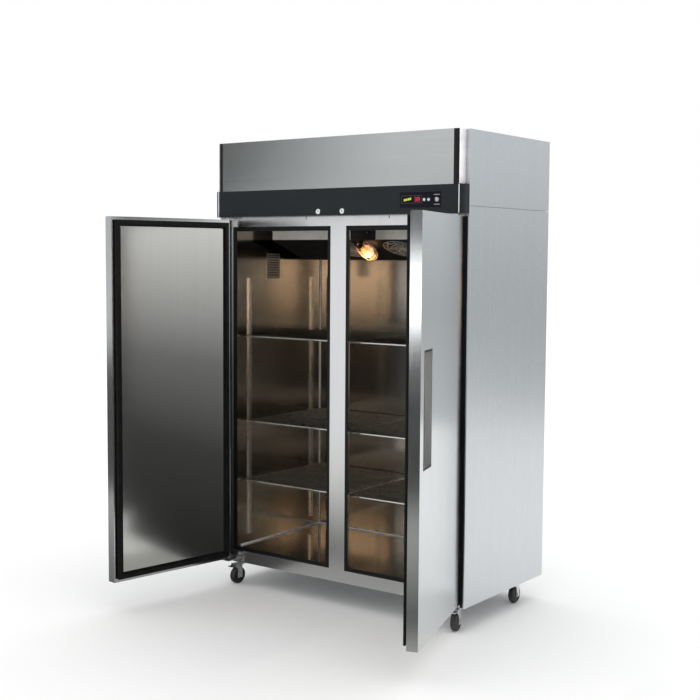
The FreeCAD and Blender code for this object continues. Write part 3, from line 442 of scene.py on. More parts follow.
def rubber(name, tint):
    """Moulded rubber with a little dust in its texture."""
    made, tree, shader = material(name)
    fine = grain(tree, 900, 4.0, 0.6)
    dust = grain(tree, 22, 5.0, 0.65, (1, 5, 3))
    colour = ramp(tree, dust, [(0.4, tint), (0.72, tone(tint, 1.5, 0.005))])
    drive(tree, shader, Base_Color=colour, Roughness=remap(tree, dust, 0.45, 0.62))
    drive(tree, shader, Specular_IOR_Level=0.18, Normal=bump(tree, fine, 0.35, 0.0002))
    return made


def tyre():
    """Hard caster tyre, scuffed round its tread."""
    made, tree, shader = material("caster_tread")
    fine = grain(tree, 700, 4.0, 0.6)
    scuff = grain(tree, 60, 5.0, 0.7, (4, 4, 1))
    colour = ramp(tree, scuff, [(0.40, (0.011, 0.011, 0.012)), (0.75, (0.060, 0.058, 0.055))])
    drive(tree, shader, Base_Color=colour, Roughness=remap(tree, scuff, 0.38, 0.70))
    drive(tree, shader, Normal=bump(tree, fine, 0.3, 0.0003))
    return made


def closed_foam():
    """Cut polyurethane foam."""
    made, tree, shader = material("cut_foam")
    cells = cell_pattern(tree, 500.0)
    slow = grain(tree, 12, 4.0)
    colour = ramp(tree, slow, [(0.3, (0.62, 0.52, 0.30)), (0.7, (0.78, 0.69, 0.46))])
    drive(tree, shader, Base_Color=colour, Roughness=remap(tree, slow, 0.80, 0.92))
    drive(tree, shader, Normal=bump(tree, cells.outputs["Distance"], 0.6, 0.0010))
    return made


def floor_paper():
    """Pale seamless paper."""
    made, tree, shader = material("studio_paper")
    slow = grain(tree, 0.6, 4.0)
    fine = grain(tree, 220, 3.0)
    colour = ramp(tree, slow, [(0.3, (0.86, 0.86, 0.86)), (0.7, (0.88, 0.88, 0.88))])
    drive(tree, shader, Base_Color=colour, Roughness=remap(tree, fine, 0.75, 0.9))
    drive(tree, shader, Normal=bump(tree, fine, 0.05, 0.0002))
    return made


def glowing(name, colour, strength):
    """A lit element behind its lens, a little uneven."""
    made, tree, shader = material(name)
    uneven = grain(tree, 900, 2.0)
    dim = tone(colour, 0.6)
    shade = ramp(tree, uneven, [(0.3, dim), (0.6, colour)])
    drive(tree, shader, Base_Color=shade, Roughness=remap(tree, uneven, 0.2, 0.4))
    drive(tree, shader, Emission_Color=shade, Emission_Strength=strength)
    return made


def bulb_glass(low, high):
    """Warm frosted bulb, hottest towards its tip."""
    made, tree, shader = material("warm_bulb")
    coords = add(tree, "TexCoord").outputs["Object"]
    along = add(tree, "SeparateXYZ", {"Vector": coords}).outputs["Y"]
    swirl = grain(tree, 60, 3.0)
    share = remap(tree, combine(tree, along, remap(tree, swirl, -0.014, 0.014)), 0.0, 1.0, low, high)
    hues = [
        (0.0, (0.50, 0.18, 0.05)), (0.30, (0.80, 0.34, 0.10)), (0.55, (1.0, 0.58, 0.24)),
        (0.78, (1.0, 0.84, 0.60)), (1.0, (1.0, 0.70, 0.40)),
    ]
    colour = ramp(tree, share, hues)
    drive(tree, shader, Base_Color=(0.20, 0.08, 0.03, 1), Roughness=remap(tree, swirl, 0.10, 0.2))
    drive(tree, shader, Emission_Color=colour, Emission_Strength=0.85)
    return made


# ---- mesh helpers
BOX_FACES = ((0, 1, 3, 2), (4, 6, 7, 5), (0, 4, 5, 1), (2, 3, 7, 6), (0, 2, 6, 4), (1, 5, 7, 3))


def add_box(bm, low, high):
    xs, ys, zs = zip(low, high)
    corners = [bm.verts.new((x, y, z)) for x in xs for y in ys for z in zs]
    for face in BOX_FACES:
        bm.faces.new([corners[i] for i in face])


def across_pair(direction):
    """Two unit directions square to this one."""
    direction = Vector(direction).normalized()
    helper = Vector((0, 0, 1)) if abs(direction.z) < 0.9 else Vector((1, 0, 0))
    first = direction.cross(helper).normalized()
    return first, direction.cross(first).normalized()


def circle(centre, across, radius, sides):
    """Points round a circle in the plane of a pair of directions."""
    first, second = across
    turns = [2 * math.pi * step / sides for step in range(sides)]
    return [centre + radius * (math.cos(turn) * first + math.sin(turn) * second) for turn in turns]


def stitch(bm, lower, upper):
    """Faces between two loops of vertices, either of which may be a single point."""
    sides = max(len(lower), len(upper))
    for i in range(sides):
        j = (i + 1) % sides
        if len(lower) == 1:
            bm.faces.new((lower[0], upper[j], upper[i]))
        elif len(upper) == 1:
            bm.faces.new((lower[i], lower[j], upper[0]))
        else:
            bm.faces.new((lower[i], lower[j], upper[j], upper[i]))


def skin(bm, loops, closed=False):
    """Faces from each loop of points to the next, then on to the first loop or over both ends."""
    loops = [[bm.verts.new(point) for point in loop] for loop in loops]
    for lower, upper in zip(loops, loops[1:]):
        stitch(bm, lower, upper)
    if closed:
        stitch(bm, loops[-1], loops[0])
        return
    for end in (list(reversed(loops[0])), loops[-1]):
        if len(end) > 1:
            bm.faces.new(end)


def add_turned(bm, base, axis, profile, sides=32, closed=False):
    """A body of revolution; profile is (radius, height) pairs from its base up."""
    base, axis = Vector(base), Vector(axis).normalized()
    across = across_pair(axis)
    loops = []
    for radius, height in profile:
        centre = base + axis * height
        loops.append([centre] if radius <= 0 else circle(centre, across, radius, sides))
    skin(bm, loops, closed)


def add_washer(bm, base, axis, profile, sides=36):
    """A ring whose section is the closed profile of (radius, height) pairs."""
    add_turned(bm, base, axis, profile, sides, True)


def add_tube(bm, points, radius, sides=10, closed=False):
    """A round wire along points, mitred at each corner."""
    points = [Vector(p) for p in points]
    count = len(points)
    loops = []
    normal = None
    for i, point in enumerate(points):
        ahead = Vector()
        if i or closed:
            ahead += (point - points[i - 1]).normalized()
        if i < count - 1 or closed:
            ahead += (points[(i + 1) % count] - point).normalized()
        ahead.normalize()
        if normal is None:
            normal = across_pair(ahead)[0]
        normal = (normal - ahead * normal.dot(ahead)).normalized()
        loops.append(circle(point, (normal, ahead.cross(normal)), radius, sides))
    skin(bm, loops, closed)


def rounded(points, rounds):
    """Corner-cutting of a polyline, which keeps its two ends."""
    for _ in range(rounds):
        cut = [points[0]]
        for a, b in zip(points, points[1:]):
            cut += [a.lerp(b, 0.25), a.lerp(b, 0.75)]
        points = cut + [points[-1]]
    return points


def scaled(pairs):
    """Pairs in millimetres, turned to metres."""
    return [(a * MM, b * MM) for a, b in pairs]


def add_ring(bm, centre, axis, radius, wire, sides=40):
    add_tube(bm, circle(Vector(centre), across_pair(axis), radius, sides), wire, 10, closed=True)


def add_bolt(bm, centre, axis, radius):
    """Washer and hexagon head."""
    washer = [(radius * 1.45, 0), (radius * 1.5, radius * 0.06), (radius * 1.45, radius * 0.16)]
    add_turned(bm, centre, axis, washer, 28)
    axis = Vector(axis).normalized()
    base = Vector(centre) + axis * radius * 0.16
    head = [(radius, 0), (radius, radius * 0.52), (radius * 0.84, radius * 0.66)]
    add_turned(bm, base, axis, head, 6)


# radius and height as shares of the screw's radius
SCREW_HEAD = ((1, 0), (1, 0.22), (0.9, 0.42), (0.62, 0.55), (0.36, 0.58), (0.34, 0.2), (0, 0.14))


def add_screw(bm, centre, axis, radius):
    """Pan head with a recessed hexagon socket."""
    add_turned(bm, centre, axis, [(radius * r, radius * h) for r, h in SCREW_HEAD], 24)


def screws(name, spots, axis, radius, body=BODY, move=None):
    """Screws of one size that face one way, as one piece."""
    bm = bmesh.new()
    for spot in spots:
        add_screw(bm, spot, axis, radius)
    piece(name, bm, "zinc", body=body, move=move)


def boxes(name, corners, finish, bevel=0, body=BODY, move=None):
    """Boxes as one piece; corners are (lowest, highest) pairs."""
    bm = bmesh.new()
    for low, high in corners:
        add_box(bm, low, high)
    piece(name, bm, finish, bevel, body, move)


def piece(name, bm, finish, bevel=0, body=BODY, move=None, stands_for=(), sharp=32):
    """Turns the mesh into an object that rides on a body and wears one of the finishes."""
    if move is not None:
        bmesh.ops.transform(bm, matrix=move, verts=bm.verts)
    bmesh.ops.recalc_face_normals(bm, faces=bm.faces)
    mesh = bpy.data.meshes.new(name)
    bm.to_mesh(mesh)
    bm.free()
    mesh.polygons.foreach_set("use_smooth", [True] * len(mesh.polygons))
    mesh.set_sharp_from_angle(angle=math.radians(sharp))
    mesh.materials.append(FINISH[finish])
    obj = new_object(name, mesh)
    if bevel:
        rounding = obj.modifiers.new("rounding", "BEVEL")
        rounding.width = bevel
        rounding.segments = 2
        rounding.limit_method = "ANGLE"
        rounding.angle_limit = math.radians(40)
    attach(obj, body)
    if stands_for:
        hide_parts(*stands_for)


def islands(node):
    """(lowest, highest) corner of each separate solid of a CAD node."""
    mesh = frame["nodes"][node].data
    bm = bmesh.new()
    bm.from_mesh(mesh)
    bmesh.ops.remove_doubles(bm, verts=bm.verts, dist=1e-5)
    todo = set(bm.verts)
    found = []
    while todo:
        stack = [todo.pop()]
        points = []
        while stack:
            vert = stack.pop()
            points.append(vert.co.copy())
            for edge in vert.link_edges:
                other = edge.other_vert(vert)
                if other in todo:
                    todo.remove(other)
                    stack.append(other)
        found.append(corners_of(points))
    bm.free()
    return sorted(found, key=lambda box: tuple(round(v, 4) for v in box[0]))


def corners_of(points):
    low = Vector([min(p[i] for p in points) for i in range(3)])
    high = Vector([max(p[i] for p in points) for i in range(3)])
    return low, high


# ---- doors
def door_swing(side):
    """Matrix from the closed door to the door as it stands open at rest."""
    joint = JOINTS[side + "_door_swing"]
    pivot = Vector(joint["pos_m"])
    turn = Matrix.Rotation(math.radians(-joint["range_deg"][0]), 4, Vector(joint["axis"]))
    return Matrix.Translation(pivot) @ turn @ Matrix.Translation(-pivot)


def closed_box(node, swing):
    """Corners of a door node with the door closed."""
    back = swing.inverted()
    return corners_of([back @ vert.co for vert in frame["nodes"][node].data.vertices])


# across the gasket from its outer edge, and out from the door, as shares of its width and depth
GASKET_PROFILE = (
    (0.10, 0.00), (0.06, 0.06), (0.06, 0.20), (0.16, 0.28), (0.16, 0.36), (0.02, 0.46),
    (0.00, 0.60), (0.02, 0.92), (0.06, 1.00), (0.66, 1.00), (0.72, 0.92), (0.70, 0.62),
    (0.62, 0.50), (0.66, 0.40), (0.92, 0.34), (1.00, 0.24), (0.98, 0.06), (0.94, 0.00),
)


def gasket(side, swing):
    """Magnetic gasket with its bellows and inner lip, mitred at the corners."""
    node = side + "_door_gasket"
    low, high = closed_box(node, swing)
    width = 28 * MM
    depth = high.y - low.y
    loops = []
    for across, out in GASKET_PROFILE:
        loops.append(frame_loop(low, high, across * width, low.y + out * depth))
    bm = bmesh.new()
    skin(bm, loops, True)
    body = side + "_door"
    piece(side + "_door_seal", bm, "gasket", 0.0006, body, swing, (node,), 50)


def frame_loop(low, high, inset, y):
    """Corners of an upright rectangle, inset from a box's edges, at one depth."""
    x0, x1, z0, z1 = low.x + inset, high.x - inset, low.z + inset, high.z - inset
    return [(x0, y, z0), (x1, y, z0), (x1, y, z1), (x0, y, z1)]


def pull_detail(side, swing):
    """Trim frame round the mouth of the pull cup, and black strips inside it: painted shadow of the
    pocket.
    """
    low, high = closed_box(side + "_door_pull_cup", swing)
    body = side + "_door"
    front = low.y
    lip, line = 3.2 * MM, 8 * MM
    sections = ((0, 0.2 * MM), (0, -0.5 * MM), (lip, -0.5 * MM), (lip, 1.0 * MM))
    bm = bmesh.new()
    skin(bm, [frame_loop(low, high, inset, front + out) for inset, out in sections], True)
    piece(side + "_pull_frame", bm, "door", 0.0003, body, swing)
    x0, x1, z0, z1 = low.x + lip, high.x - lip, low.z + lip, high.z - lip
    # painted shadow: black strips down the pocket's free side and along its top and bottom stand for
    # the shade inside the pocket
    free = (x0, x0 + line) if side == "right" else (x1 - line, x1)
    shadow_strips = [((free[0], front - 0.3 * MM, z0), (free[1], front + 1.2 * MM, z1))]
    for level in (z0, z1 - line):
        shadow_strips.append(((x0, front - 0.2 * MM, level), (x1, front + 1.1 * MM, level + line)))
    boxes(side + "_pull_painted_shadow", shadow_strips, "black_plastic", 0.0003, body, swing)


def door_screws(side, swing):
    """Screws in the hinge edge, near the top and the bottom."""
    low, high = closed_box(side + "_door_outer", swing)
    hinge_x, facing = (high.x, 1) if side == "right" else (low.x, -1)
    levels = (low.z + 60 * MM, low.z + 90 * MM, high.z - 60 * MM, high.z - 90 * MM)
    spots = [(hinge_x, (low.y + high.y) / 2, level) for level in levels]
    screws(side + "_door_screws", spots, (facing, 0, 0), 4 * MM, side + "_door", swing)


# ---- fascia, display, locks, trims
SEGMENTS = {
    "a": ((0, 2), (1, 2)), "b": ((1, 1), (1, 2)), "c": ((1, 0), (1, 1)), "d": ((0, 0), (1, 0)),
    "e": ((0, 0), (0, 1)), "f": ((0, 1), (0, 2)), "g": ((0, 1), (1, 1)),
}


def upright_direction(turn):
    return Vector((math.cos(turn), 0, math.sin(turn)))


def add_segment(bm, start, end, y, wide):
    """One bar of a seven-segment figure, with pointed ends."""
    start, end = Vector((start[0], y, start[1])), Vector((end[0], y, end[1]))
    ahead = (end - start).normalized()
    side = Vector((-ahead.z, 0, ahead.x)) * wide / 2
    ends = (start + ahead * wide * 0.35, end - ahead * wide * 0.35)
    outline = [
        ends[0], ends[0] + ahead * wide / 2 - side, ends[1] - ahead * wide / 2 - side,
        ends[1], ends[1] - ahead * wide / 2 + side, ends[0] + ahead * wide / 2 + side,
    ]
    skin(bm, [[p + Vector((0, deep, 0)) for p in outline] for deep in (0, 0.3 * MM)])


def display_face():
    """Rim of the window, its figures and status bar, the button rims and a plain snow crystal."""
    low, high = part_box("display_module")
    y = low.y - 0.25 * MM
    middle_z = (low.z + high.z) / 2
    length = high.x - low.x
    buttons = [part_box(name) for name in ("up_button", "down_button")]
    rim = 1.6 * MM
    x0, x1 = low.x + 8 * MM, min(b[0].x for b in buttons) - 7 * MM
    z0, z1 = middle_z - 14 * MM, middle_z + 18 * MM
    sides = (
        (x0, x1, z0, z0 + rim), (x0, x1, z1 - rim, z1),
        (x0, x0 + rim, z0 + rim, z1 - rim), (x1 - rim, x1, z0 + rim, z1 - rim),
    )
    window = [((a, y, c), (b, low.y + 0.1 * MM, d)) for a, b, c, d in sides]
    boxes("display_window_rim", window, "display_rim", 0.0002)

    bm = bmesh.new()
    figure_z = middle_z + 2 * MM
    wide, tall = 9 * MM, 16 * MM
    left = low.x + length * 0.36
    for place, figure in enumerate(("abcdg", "abcdefg")):
        x0 = left + place * 16 * MM
        for segment in figure:
            ends = [(x0 + x * wide, figure_z + (z - 1) * tall / 2) for x, z in SEGMENTS[segment]]
            add_segment(bm, *ends, y - 0.05 * MM, 1.3 * MM)
    piece("display_figures", bm, "red_glow")

    bar = []
    for step in range(4):
        x0 = low.x + length * 0.10 + step * 9.6 * MM
        z = figure_z + step * 1.6 * MM
        bar.append(((x0, y - 0.05 * MM, z - 7 * MM), (x0 + 7.6 * MM, low.y, z + 2 * MM)))
    boxes("display_status_bar", bar, "lime_glow", 0.0003)

    bm = bmesh.new()
    for box_low, box_high in buttons:
        centre = (box_low + box_high) / 2
        radius = (box_high.x - box_low.x) / 2 + 1.6 * MM
        add_ring(bm, (centre.x, low.y - 0.1 * MM, centre.z), (0, 1, 0), radius, 0.5 * MM)
    piece("button_rims", bm, "white_print")

    bm = bmesh.new()
    centre = Vector((high.x - 20 * MM, 0, middle_z))
    frame_half, line = 14 * MM, 1.1 * MM
    for z in (-frame_half - 6 * MM, frame_half + 6 * MM):
        z += middle_z
        corner, opposite = centre.x - frame_half, centre.x + frame_half
        add_box(bm, (corner, y, z - line / 2), (opposite, low.y, z + line / 2))
    for arm in range(6):
        turn = math.radians(60 * arm + 30)
        ahead = upright_direction(turn)
        tip = centre + ahead * 11 * MM
        add_segment(bm, (centre.x, centre.z), (tip.x, tip.z), y, 2.2 * MM)
        for lean in (-50, 50):
            root = centre + ahead * 6 * MM
            end = root + upright_direction(turn + math.radians(lean)) * 5 * MM
            add_segment(bm, (root.x, root.z), (end.x, end.z), y, 1.6 * MM)
    piece("display_snow_crystal", bm, "white_print")


def lock_details():
    """Bright rim round each key lock, and its keyway as a black mark: painted shade of the slot."""
    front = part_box("control_fascia")[0].y
    for side in ("left", "right"):
        low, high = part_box(side + "_lock_core")
        x, z = (low.x + high.x) / 2, JOINTS[side + "_lock_turn"]["pos_m"][2]
        bm = bmesh.new()
        profile = scaled([(9.4, 0), (12, 0), (11.6, 1.4), (9.8, 1.8)])
        add_washer(bm, (x, front, z), (0, -1, 0), profile)
        piece(side + "_lock_rim", bm, "chrome")
        way, deep, half = 0.9 * MM, low.y - 0.15 * MM, 5 * MM
        # painted shade: a thin black box stands for the dark inside the keyway slot
        keyway = [((x - way, deep, z - half), (x + way, low.y + 0.3 * MM, z + half))]
        boxes(side + "_keyway", keyway, "black_plastic", 0.0002, side + "_lock")


# how far back the corner trims reach (y), and where the header's notches are (x)
TRIM_BACK = -345 * MM
NOTCH_PLACES = (-182 * MM, 273 * MM)


def corner_trims():
    """Strip between each black end cap and the side panel, down over the fascia's end, in flat white:
    a painted highlight on the corner edge.
    """
    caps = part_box("end_caps")
    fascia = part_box("control_fascia")
    for side, word in ((-1, "left"), (1, "right")):
        x0, x1 = sorted((side * (caps[1].x + 0.3 * MM), side * (caps[1].x + 4.5 * MM)))
        front = fascia[0].y
        low, high = fascia[0].z + 1 * MM, fascia[1].z - 1 * MM
        trim = [
            ((x0, front + 3 * MM, fascia[1].z + 0.5 * MM), (x1, TRIM_BACK, caps[1].z)),
            ((x0, front - 0.8 * MM, low), (x1, front + 3 * MM, high)),
        ]
        # painted highlight: flat white along the corner and over the fascia's rounded end
        boxes(word + "_corner_trim", trim, "trim", 0.0012)


def hinge_gap_shade_strips():
    """Thin black strips on the folded front edges, beside the doors' hinge edges: painted shade of
    the gap there.
    """
    low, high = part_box("right_side_panel")
    foot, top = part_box("face_frame")[0].z + 2 * MM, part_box("right_door_outer")[1].z
    strips = []
    for sign in (-1, 1):
        x0, x1 = sorted((sign * (high.x - 24 * MM), sign * (high.x - 9 * MM)))
        strips.append(((x0, low.y + 5 * MM, foot), (x1, low.y + 7 * MM, top)))
    # painted shade: the black stands for the dark gap between each door and the side panel
    boxes("hinge_gap_shade_strips", strips, "strip", 0.0002)


def header_notches():
    """Two small latch notches in the top of the header rail, drawn as black marks: painted shade
    inside each notch.
    """
    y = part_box("face_frame")[0].y
    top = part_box("control_fascia")[0].z
    for step, x in enumerate(NOTCH_PLACES):
        # painted shade: each notch is a black box, not a cut
        notch = [((x - 2 * MM, y - 0.3 * MM, top - 14 * MM), (x + 2 * MM, y + 0.5 * MM, top))]
        boxes("header_notch_%d" % (step + 1), notch, "black_plastic", 0.0004)


# ---- inside
# a pilaster nearer the middle than this is the mullion's
MULLION_REACH = 0.2
SHELF_RAIL, SHELF_WIRE, BEARER = 3.4 * MM, 1.45 * MM, 2.6 * MM
DECK_WIRES = 58


def slotted_pilaster(bm, low, high):
    """Channel with a row of slots down its face, open towards the wall."""
    size = high - low
    wide_axis, deep_axis = (0, 1) if size.x > size.y else (1, 0)
    middle = (low + high) / 2
    facing = -1 if middle[deep_axis] > 0 else 1
    if deep_axis == 0 and abs(middle.x) < MULLION_REACH:
        facing = -facing
    face = high[deep_axis] if facing > 0 else low[deep_axis]
    wall = low[deep_axis] if facing > 0 else high[deep_axis]
    u0, u1 = low[wide_axis], high[wide_axis]
    centre = (u0 + u1) / 2
    slot_half, slot_tall, pitch, thick = 2.6 * MM, 9 * MM, 25.4 * MM, 1.3 * MM

    def block(ua, ub, da, db, za, zb):
        a, b = [0, 0, za], [0, 0, zb]
        a[wide_axis], b[wide_axis] = min(ua, ub), max(ua, ub)
        a[deep_axis], b[deep_axis] = min(da, db), max(da, db)
        add_box(bm, a, b)

    back = face - facing * thick
    block(u0, centre - slot_half, face, back, low.z, high.z)
    block(centre + slot_half, u1, face, back, low.z, high.z)
    block(u0, u0 + thick, back, wall, low.z, high.z)
    block(u1 - thick, u1, back, wall, low.z, high.z)
    count = int((high.z - low.z - 20 * MM) / pitch)
    z = low.z
    for slot in range(count):
        start = low.z + 12 * MM + slot * pitch
        block(centre - slot_half, centre + slot_half, face, back, z, start)
        z = start + slot_tall
    block(centre - slot_half, centre + slot_half, face, back, z, high.z)


def pilasters():
    bm = bmesh.new()
    for low, high in islands("pilasters"):
        slotted_pilaster(bm, low, high)
    piece("slotted_pilasters", bm, "pilaster", stands_for=("pilasters",))


def wire_shelves():
    """Each shelf: rounded border, bearers, close deck wires turned down in front, bright rails."""
    for side in ("left", "right"):
        shelves = sorted(islands(side + "_shelves"), key=lambda box: box[0].z)
        for level, (low, high) in enumerate(shelves):
            bm = bmesh.new()
            add_shelf(bm, low, high)
            name = "%s_wire_shelf_%d" % (side, level + 1)
            stands_for = () if level else (side + "_shelves",)
            piece(name, bm, "shelf_wire", stands_for=stands_for)
            bm = bmesh.new()
            rail, y = SHELF_RAIL, low.y + SHELF_RAIL
            upper = (high.z - 2 * SHELF_WIRE - rail, rail + 0.2 * MM, 16)
            for z, radius, sides in (upper, (low.z + rail, rail * 0.6, 12)):
                add_tube(bm, [(low.x + 18 * MM, y, z), (high.x - 18 * MM, y, z)], radius, sides)
            piece("%s_shelf_rails_%d" % (side, level + 1), bm, "chrome")


def add_shelf(bm, low, high):
    rail, wire = SHELF_RAIL, SHELF_WIRE
    deck = high.z - wire
    rail_z = high.z - 2 * wire - rail
    x0, x1, y0, y1 = low.x + rail, high.x - rail, low.y + rail, high.y - rail
    turn = 14 * MM
    border = []
    right, left, rear, fore = x1 - turn, x0 + turn, y1 - turn, y0 + turn
    for x, y, start in ((right, rear, 0), (left, rear, 90), (left, fore, 180), (right, fore, 270)):
        for step in range(6):
            angle = math.radians(start + 18 * step)
            border.append((x + turn * math.cos(angle), y + turn * math.sin(angle), rail_z))
    add_tube(bm, border, rail, 12, closed=True)
    z = rail_z + rail - BEARER
    for share in (0.2, 0.4, 0.6, 0.8):
        y = y0 + (y1 - y0) * share
        add_tube(bm, [(x0, y, z), (x1, y, z)], BEARER, 10)
    front, foot = y0 - rail + wire, rail_z - rail + 1 * MM
    run = ((y1, deck), (y0 + 2 * MM, deck), (front, deck - 1.6 * MM), (front, foot))
    for step in range(DECK_WIRES):
        x = x0 + 6 * MM + (x1 - x0 - 12 * MM) * step / (DECK_WIRES - 1)
        add_tube(bm, [(x, y, z) for y, z in run], wire, 6)


# the lamp's middle, and its outlines as (radius, height) from its socket's foot, in millimetres
LAMP_X = -14 * MM
SOCKET = (
    (12, 2), (16, 2), (16, 20), (14.8, 21), (14.8, 26), (16, 27), (16, 38), (15, 41), (12.6, 41),
    (12.4, 16),
)
PEAR = (
    (0, 18), (9, 18), (11.4, 20), (11.8, 38), (13.4, 50), (17.0, 62), (20.6, 75), (23.0, 88),
    (23.6, 100), (22.2, 113), (18.4, 124), (11.8, 132), (4.8, 136), (0, 136.6),
)
BASKET_RIB = ((17.5, 28), (25, 40), (30, 60), (32, 90), (31, 120), (26, 142), (17, 154), (4, 158))
BASKET_RINGS = ((18.2, 29), (30.2, 61), (32.2, 91), (31.2, 120), (18.0, 153))


def lamp():
    """Bracket, socket, pear-shaped bulb and wire basket, in place of the CAD's plain ones."""
    low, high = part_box("lamp_holder")
    front = low.y
    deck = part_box("evaporator_cover")[0]
    bracket = (
        ((low.x, front, deck.z), (high.x, deck.y, high.z)),
        ((-12 * MM, front + 2 * MM, deck.z - 18 * MM), (12 * MM, front + 28 * MM, deck.z + 1 * MM)),
    )
    boxes("lamp_bracket", bracket, "black_plastic", 0.002)
    start = Vector((LAMP_X, front + 10 * MM, deck.z - 16 * MM))
    axis = Vector((0, math.cos(LAMP_TILT), -math.sin(LAMP_TILT)))
    bm = bmesh.new()
    add_washer(bm, start, axis, scaled(SOCKET), 40)
    piece("lamp_socket", bm, "black_plastic", stands_for=("lamp_holder",))
    bm = bmesh.new()
    add_turned(bm, start, axis, scaled(PEAR), 40)
    piece("lamp_globe", bm, "bulb", stands_for=("lamp_bulb",), sharp=60)
    bm = bmesh.new()
    first, second = across_pair(axis)
    for step in range(8):
        turn = math.radians(45 * step + 22.5)
        out = math.cos(turn) * first + math.sin(turn) * second
        rib = [start + axis * h + out * r for r, h in scaled(BASKET_RIB)]
        add_tube(bm, rounded(rib, 2), 1.2 * MM, 8)
    for radius, height in scaled(BASKET_RINGS):
        add_ring(bm, start + axis * height, axis, radius, 1.3 * MM)
    # painted warm light: the basket's amber colour stands for the bulb's light on its wires
    piece("lamp_basket", bm, "lamp_glow_wire")
    reach = (high.x - low.x) / 2 * 0.75
    spots = [(x, front, (deck.z + high.z) / 2) for x in (-reach, reach)]
    screws("lamp_bracket_screws", spots, (0, -1, 0), 3.4 * MM)


def data_plate():
    """Blank rating plate on the left wall, ruled but with nothing written on it."""
    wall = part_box("wall_liners")[0].x + LINER_SHEET
    face = wall + 0.8 * MM
    front, back, low, high = -109 * MM, -13 * MM, 1362 * MM, 1485 * MM
    plate = [((wall, front, low), (face, back, high))]
    boxes("rating_plate", plate, "plate", 0.0003)
    rules = []
    for step in range(9):
        z = high - 12 * MM - step * 12 * MM
        rules.append(((face, front + 8 * MM, z), (wall + 1.0 * MM, back - 8 * MM, z + 5 * MM)))
    boxes("rating_plate_rules", rules, "plate_rule", 0.0001)
    rivet = scaled([(2, 0), (1.7, 0.7), (0.8, 1.1), (0, 1.2)])
    bm = bmesh.new()
    for y in (front + 4 * MM, back - 4 * MM):
        for z in (low + 4 * MM, high - 4 * MM):
            add_turned(bm, (face, y, z), (1, 0, 0), rivet, 16)
    piece("rating_plate_rivets", bm, "zinc")


def liner_highlight_beads():
    """White beads along the floor of the cabinet and up its two rear corners: a painted highlight
    along these edges.
    """
    low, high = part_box("wall_liners")
    bead = 4 * MM
    inset = LINER_SHEET + bead * 0.7
    left, right, back = low.x + inset, high.x - inset, high.y - inset
    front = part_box("face_frame")[1].y
    floor = low.z + bead * 0.7
    bm = bmesh.new()
    run = [(left, front, floor), (left, back - 8 * MM, floor), (left + 8 * MM, back, floor)]
    run += [(right - 8 * MM, back, floor), (right, back - 8 * MM, floor), (right, front, floor)]
    # painted highlight: flat white tubes along the floor's edges and the rear corners
    add_tube(bm, run, bead, 12)
    for x in (left, right):
        add_tube(bm, [(x, back, floor), (x, back, high.z - 2 * MM)], bead * 0.8, 12)
    piece("liner_painted_highlights", bm, "trim")


def inside_screws():
    """Screws of the evaporator cover."""
    low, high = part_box("evaporator_cover")
    places = [low.x + (high.x - low.x) * share for share in (0.04, 0.26, 0.74, 0.96)]
    spots = [(x, low.y, high.z - 12 * MM) for x in places]
    screws("evaporator_cover_screws", spots, (0, -1, 0), 3.6 * MM)


def wall_clips():
    """Small screws down the pilasters of the side walls."""
    bm = bmesh.new()
    for low, high in islands("pilasters"):
        size = high - low
        middle = (low + high) / 2
        if size.y < size.x or abs(middle.x) < MULLION_REACH:
            continue
        facing = -1 if middle.x > 0 else 1
        face = low.x if facing < 0 else high.x
        for share in (0.004, 0.25, 0.5, 0.75, 0.996):
            z = low.z + (high.z - low.z) * share
            add_screw(bm, (face, middle.y + 5.6 * MM, z), (facing, 0, 0), 2.6 * MM)
    piece("pilaster_screws", bm, "zinc")


# ---- outside, top and wheels
def hinge_screws():
    """Bolts through the hinge plates, clear of the closed doors."""
    plate_thick = 4 * MM
    bm = bmesh.new()
    for low, high in islands("hinge_brackets"):
        at_top = low.z > CAD_BOX[1][2] / 2
        z = high.z - 12 * MM if at_top else low.z + 7 * MM
        inner, outward = (low.x, 1) if low.x > 0 else (high.x, -1)
        for offset in (10 * MM, 34 * MM):
            add_bolt(bm, (inner + outward * offset, high.y - plate_thick, z), (0, -1, 0), 3 * MM)
    piece("hinge_bolts", bm, "zinc")


# how far a wheel's ring stands from its middle, and the level of the swivels' ball races
HUB_REACH, RACE_LEVEL = 14.4 * MM, -9 * MM


def caster_details():
    """Hub rings on every wheel, and a ball race under each plate."""
    hub = scaled([(30, 0), (29, 0.7), (22, 0.9), (21, 0.2)])
    race = scaled([(21, 0), (27, 0), (28, 2), (27, 4), (21, 4)])
    for end in ("front", "rear"):
        for side in ("left", "right"):
            name = "%s_%s" % (end, side)
            joint = JOINTS[name + "_roll"]
            centre, axis = Vector(joint["pos_m"]), Vector(joint["axis"]).normalized()
            bm = bmesh.new()
            for way in (-1, 1):
                add_washer(bm, centre + axis * way * HUB_REACH, axis * way, hub)
            piece(name + "_hub_ring", bm, "black_plastic", body=name + "_wheel")
            x, y = JOINTS[name + "_swivel"]["pos_m"][:2]
            bm = bmesh.new()
            add_washer(bm, (x, y, RACE_LEVEL), (0, 0, 1), race)
            piece(name + "_race", bm, "zinc")


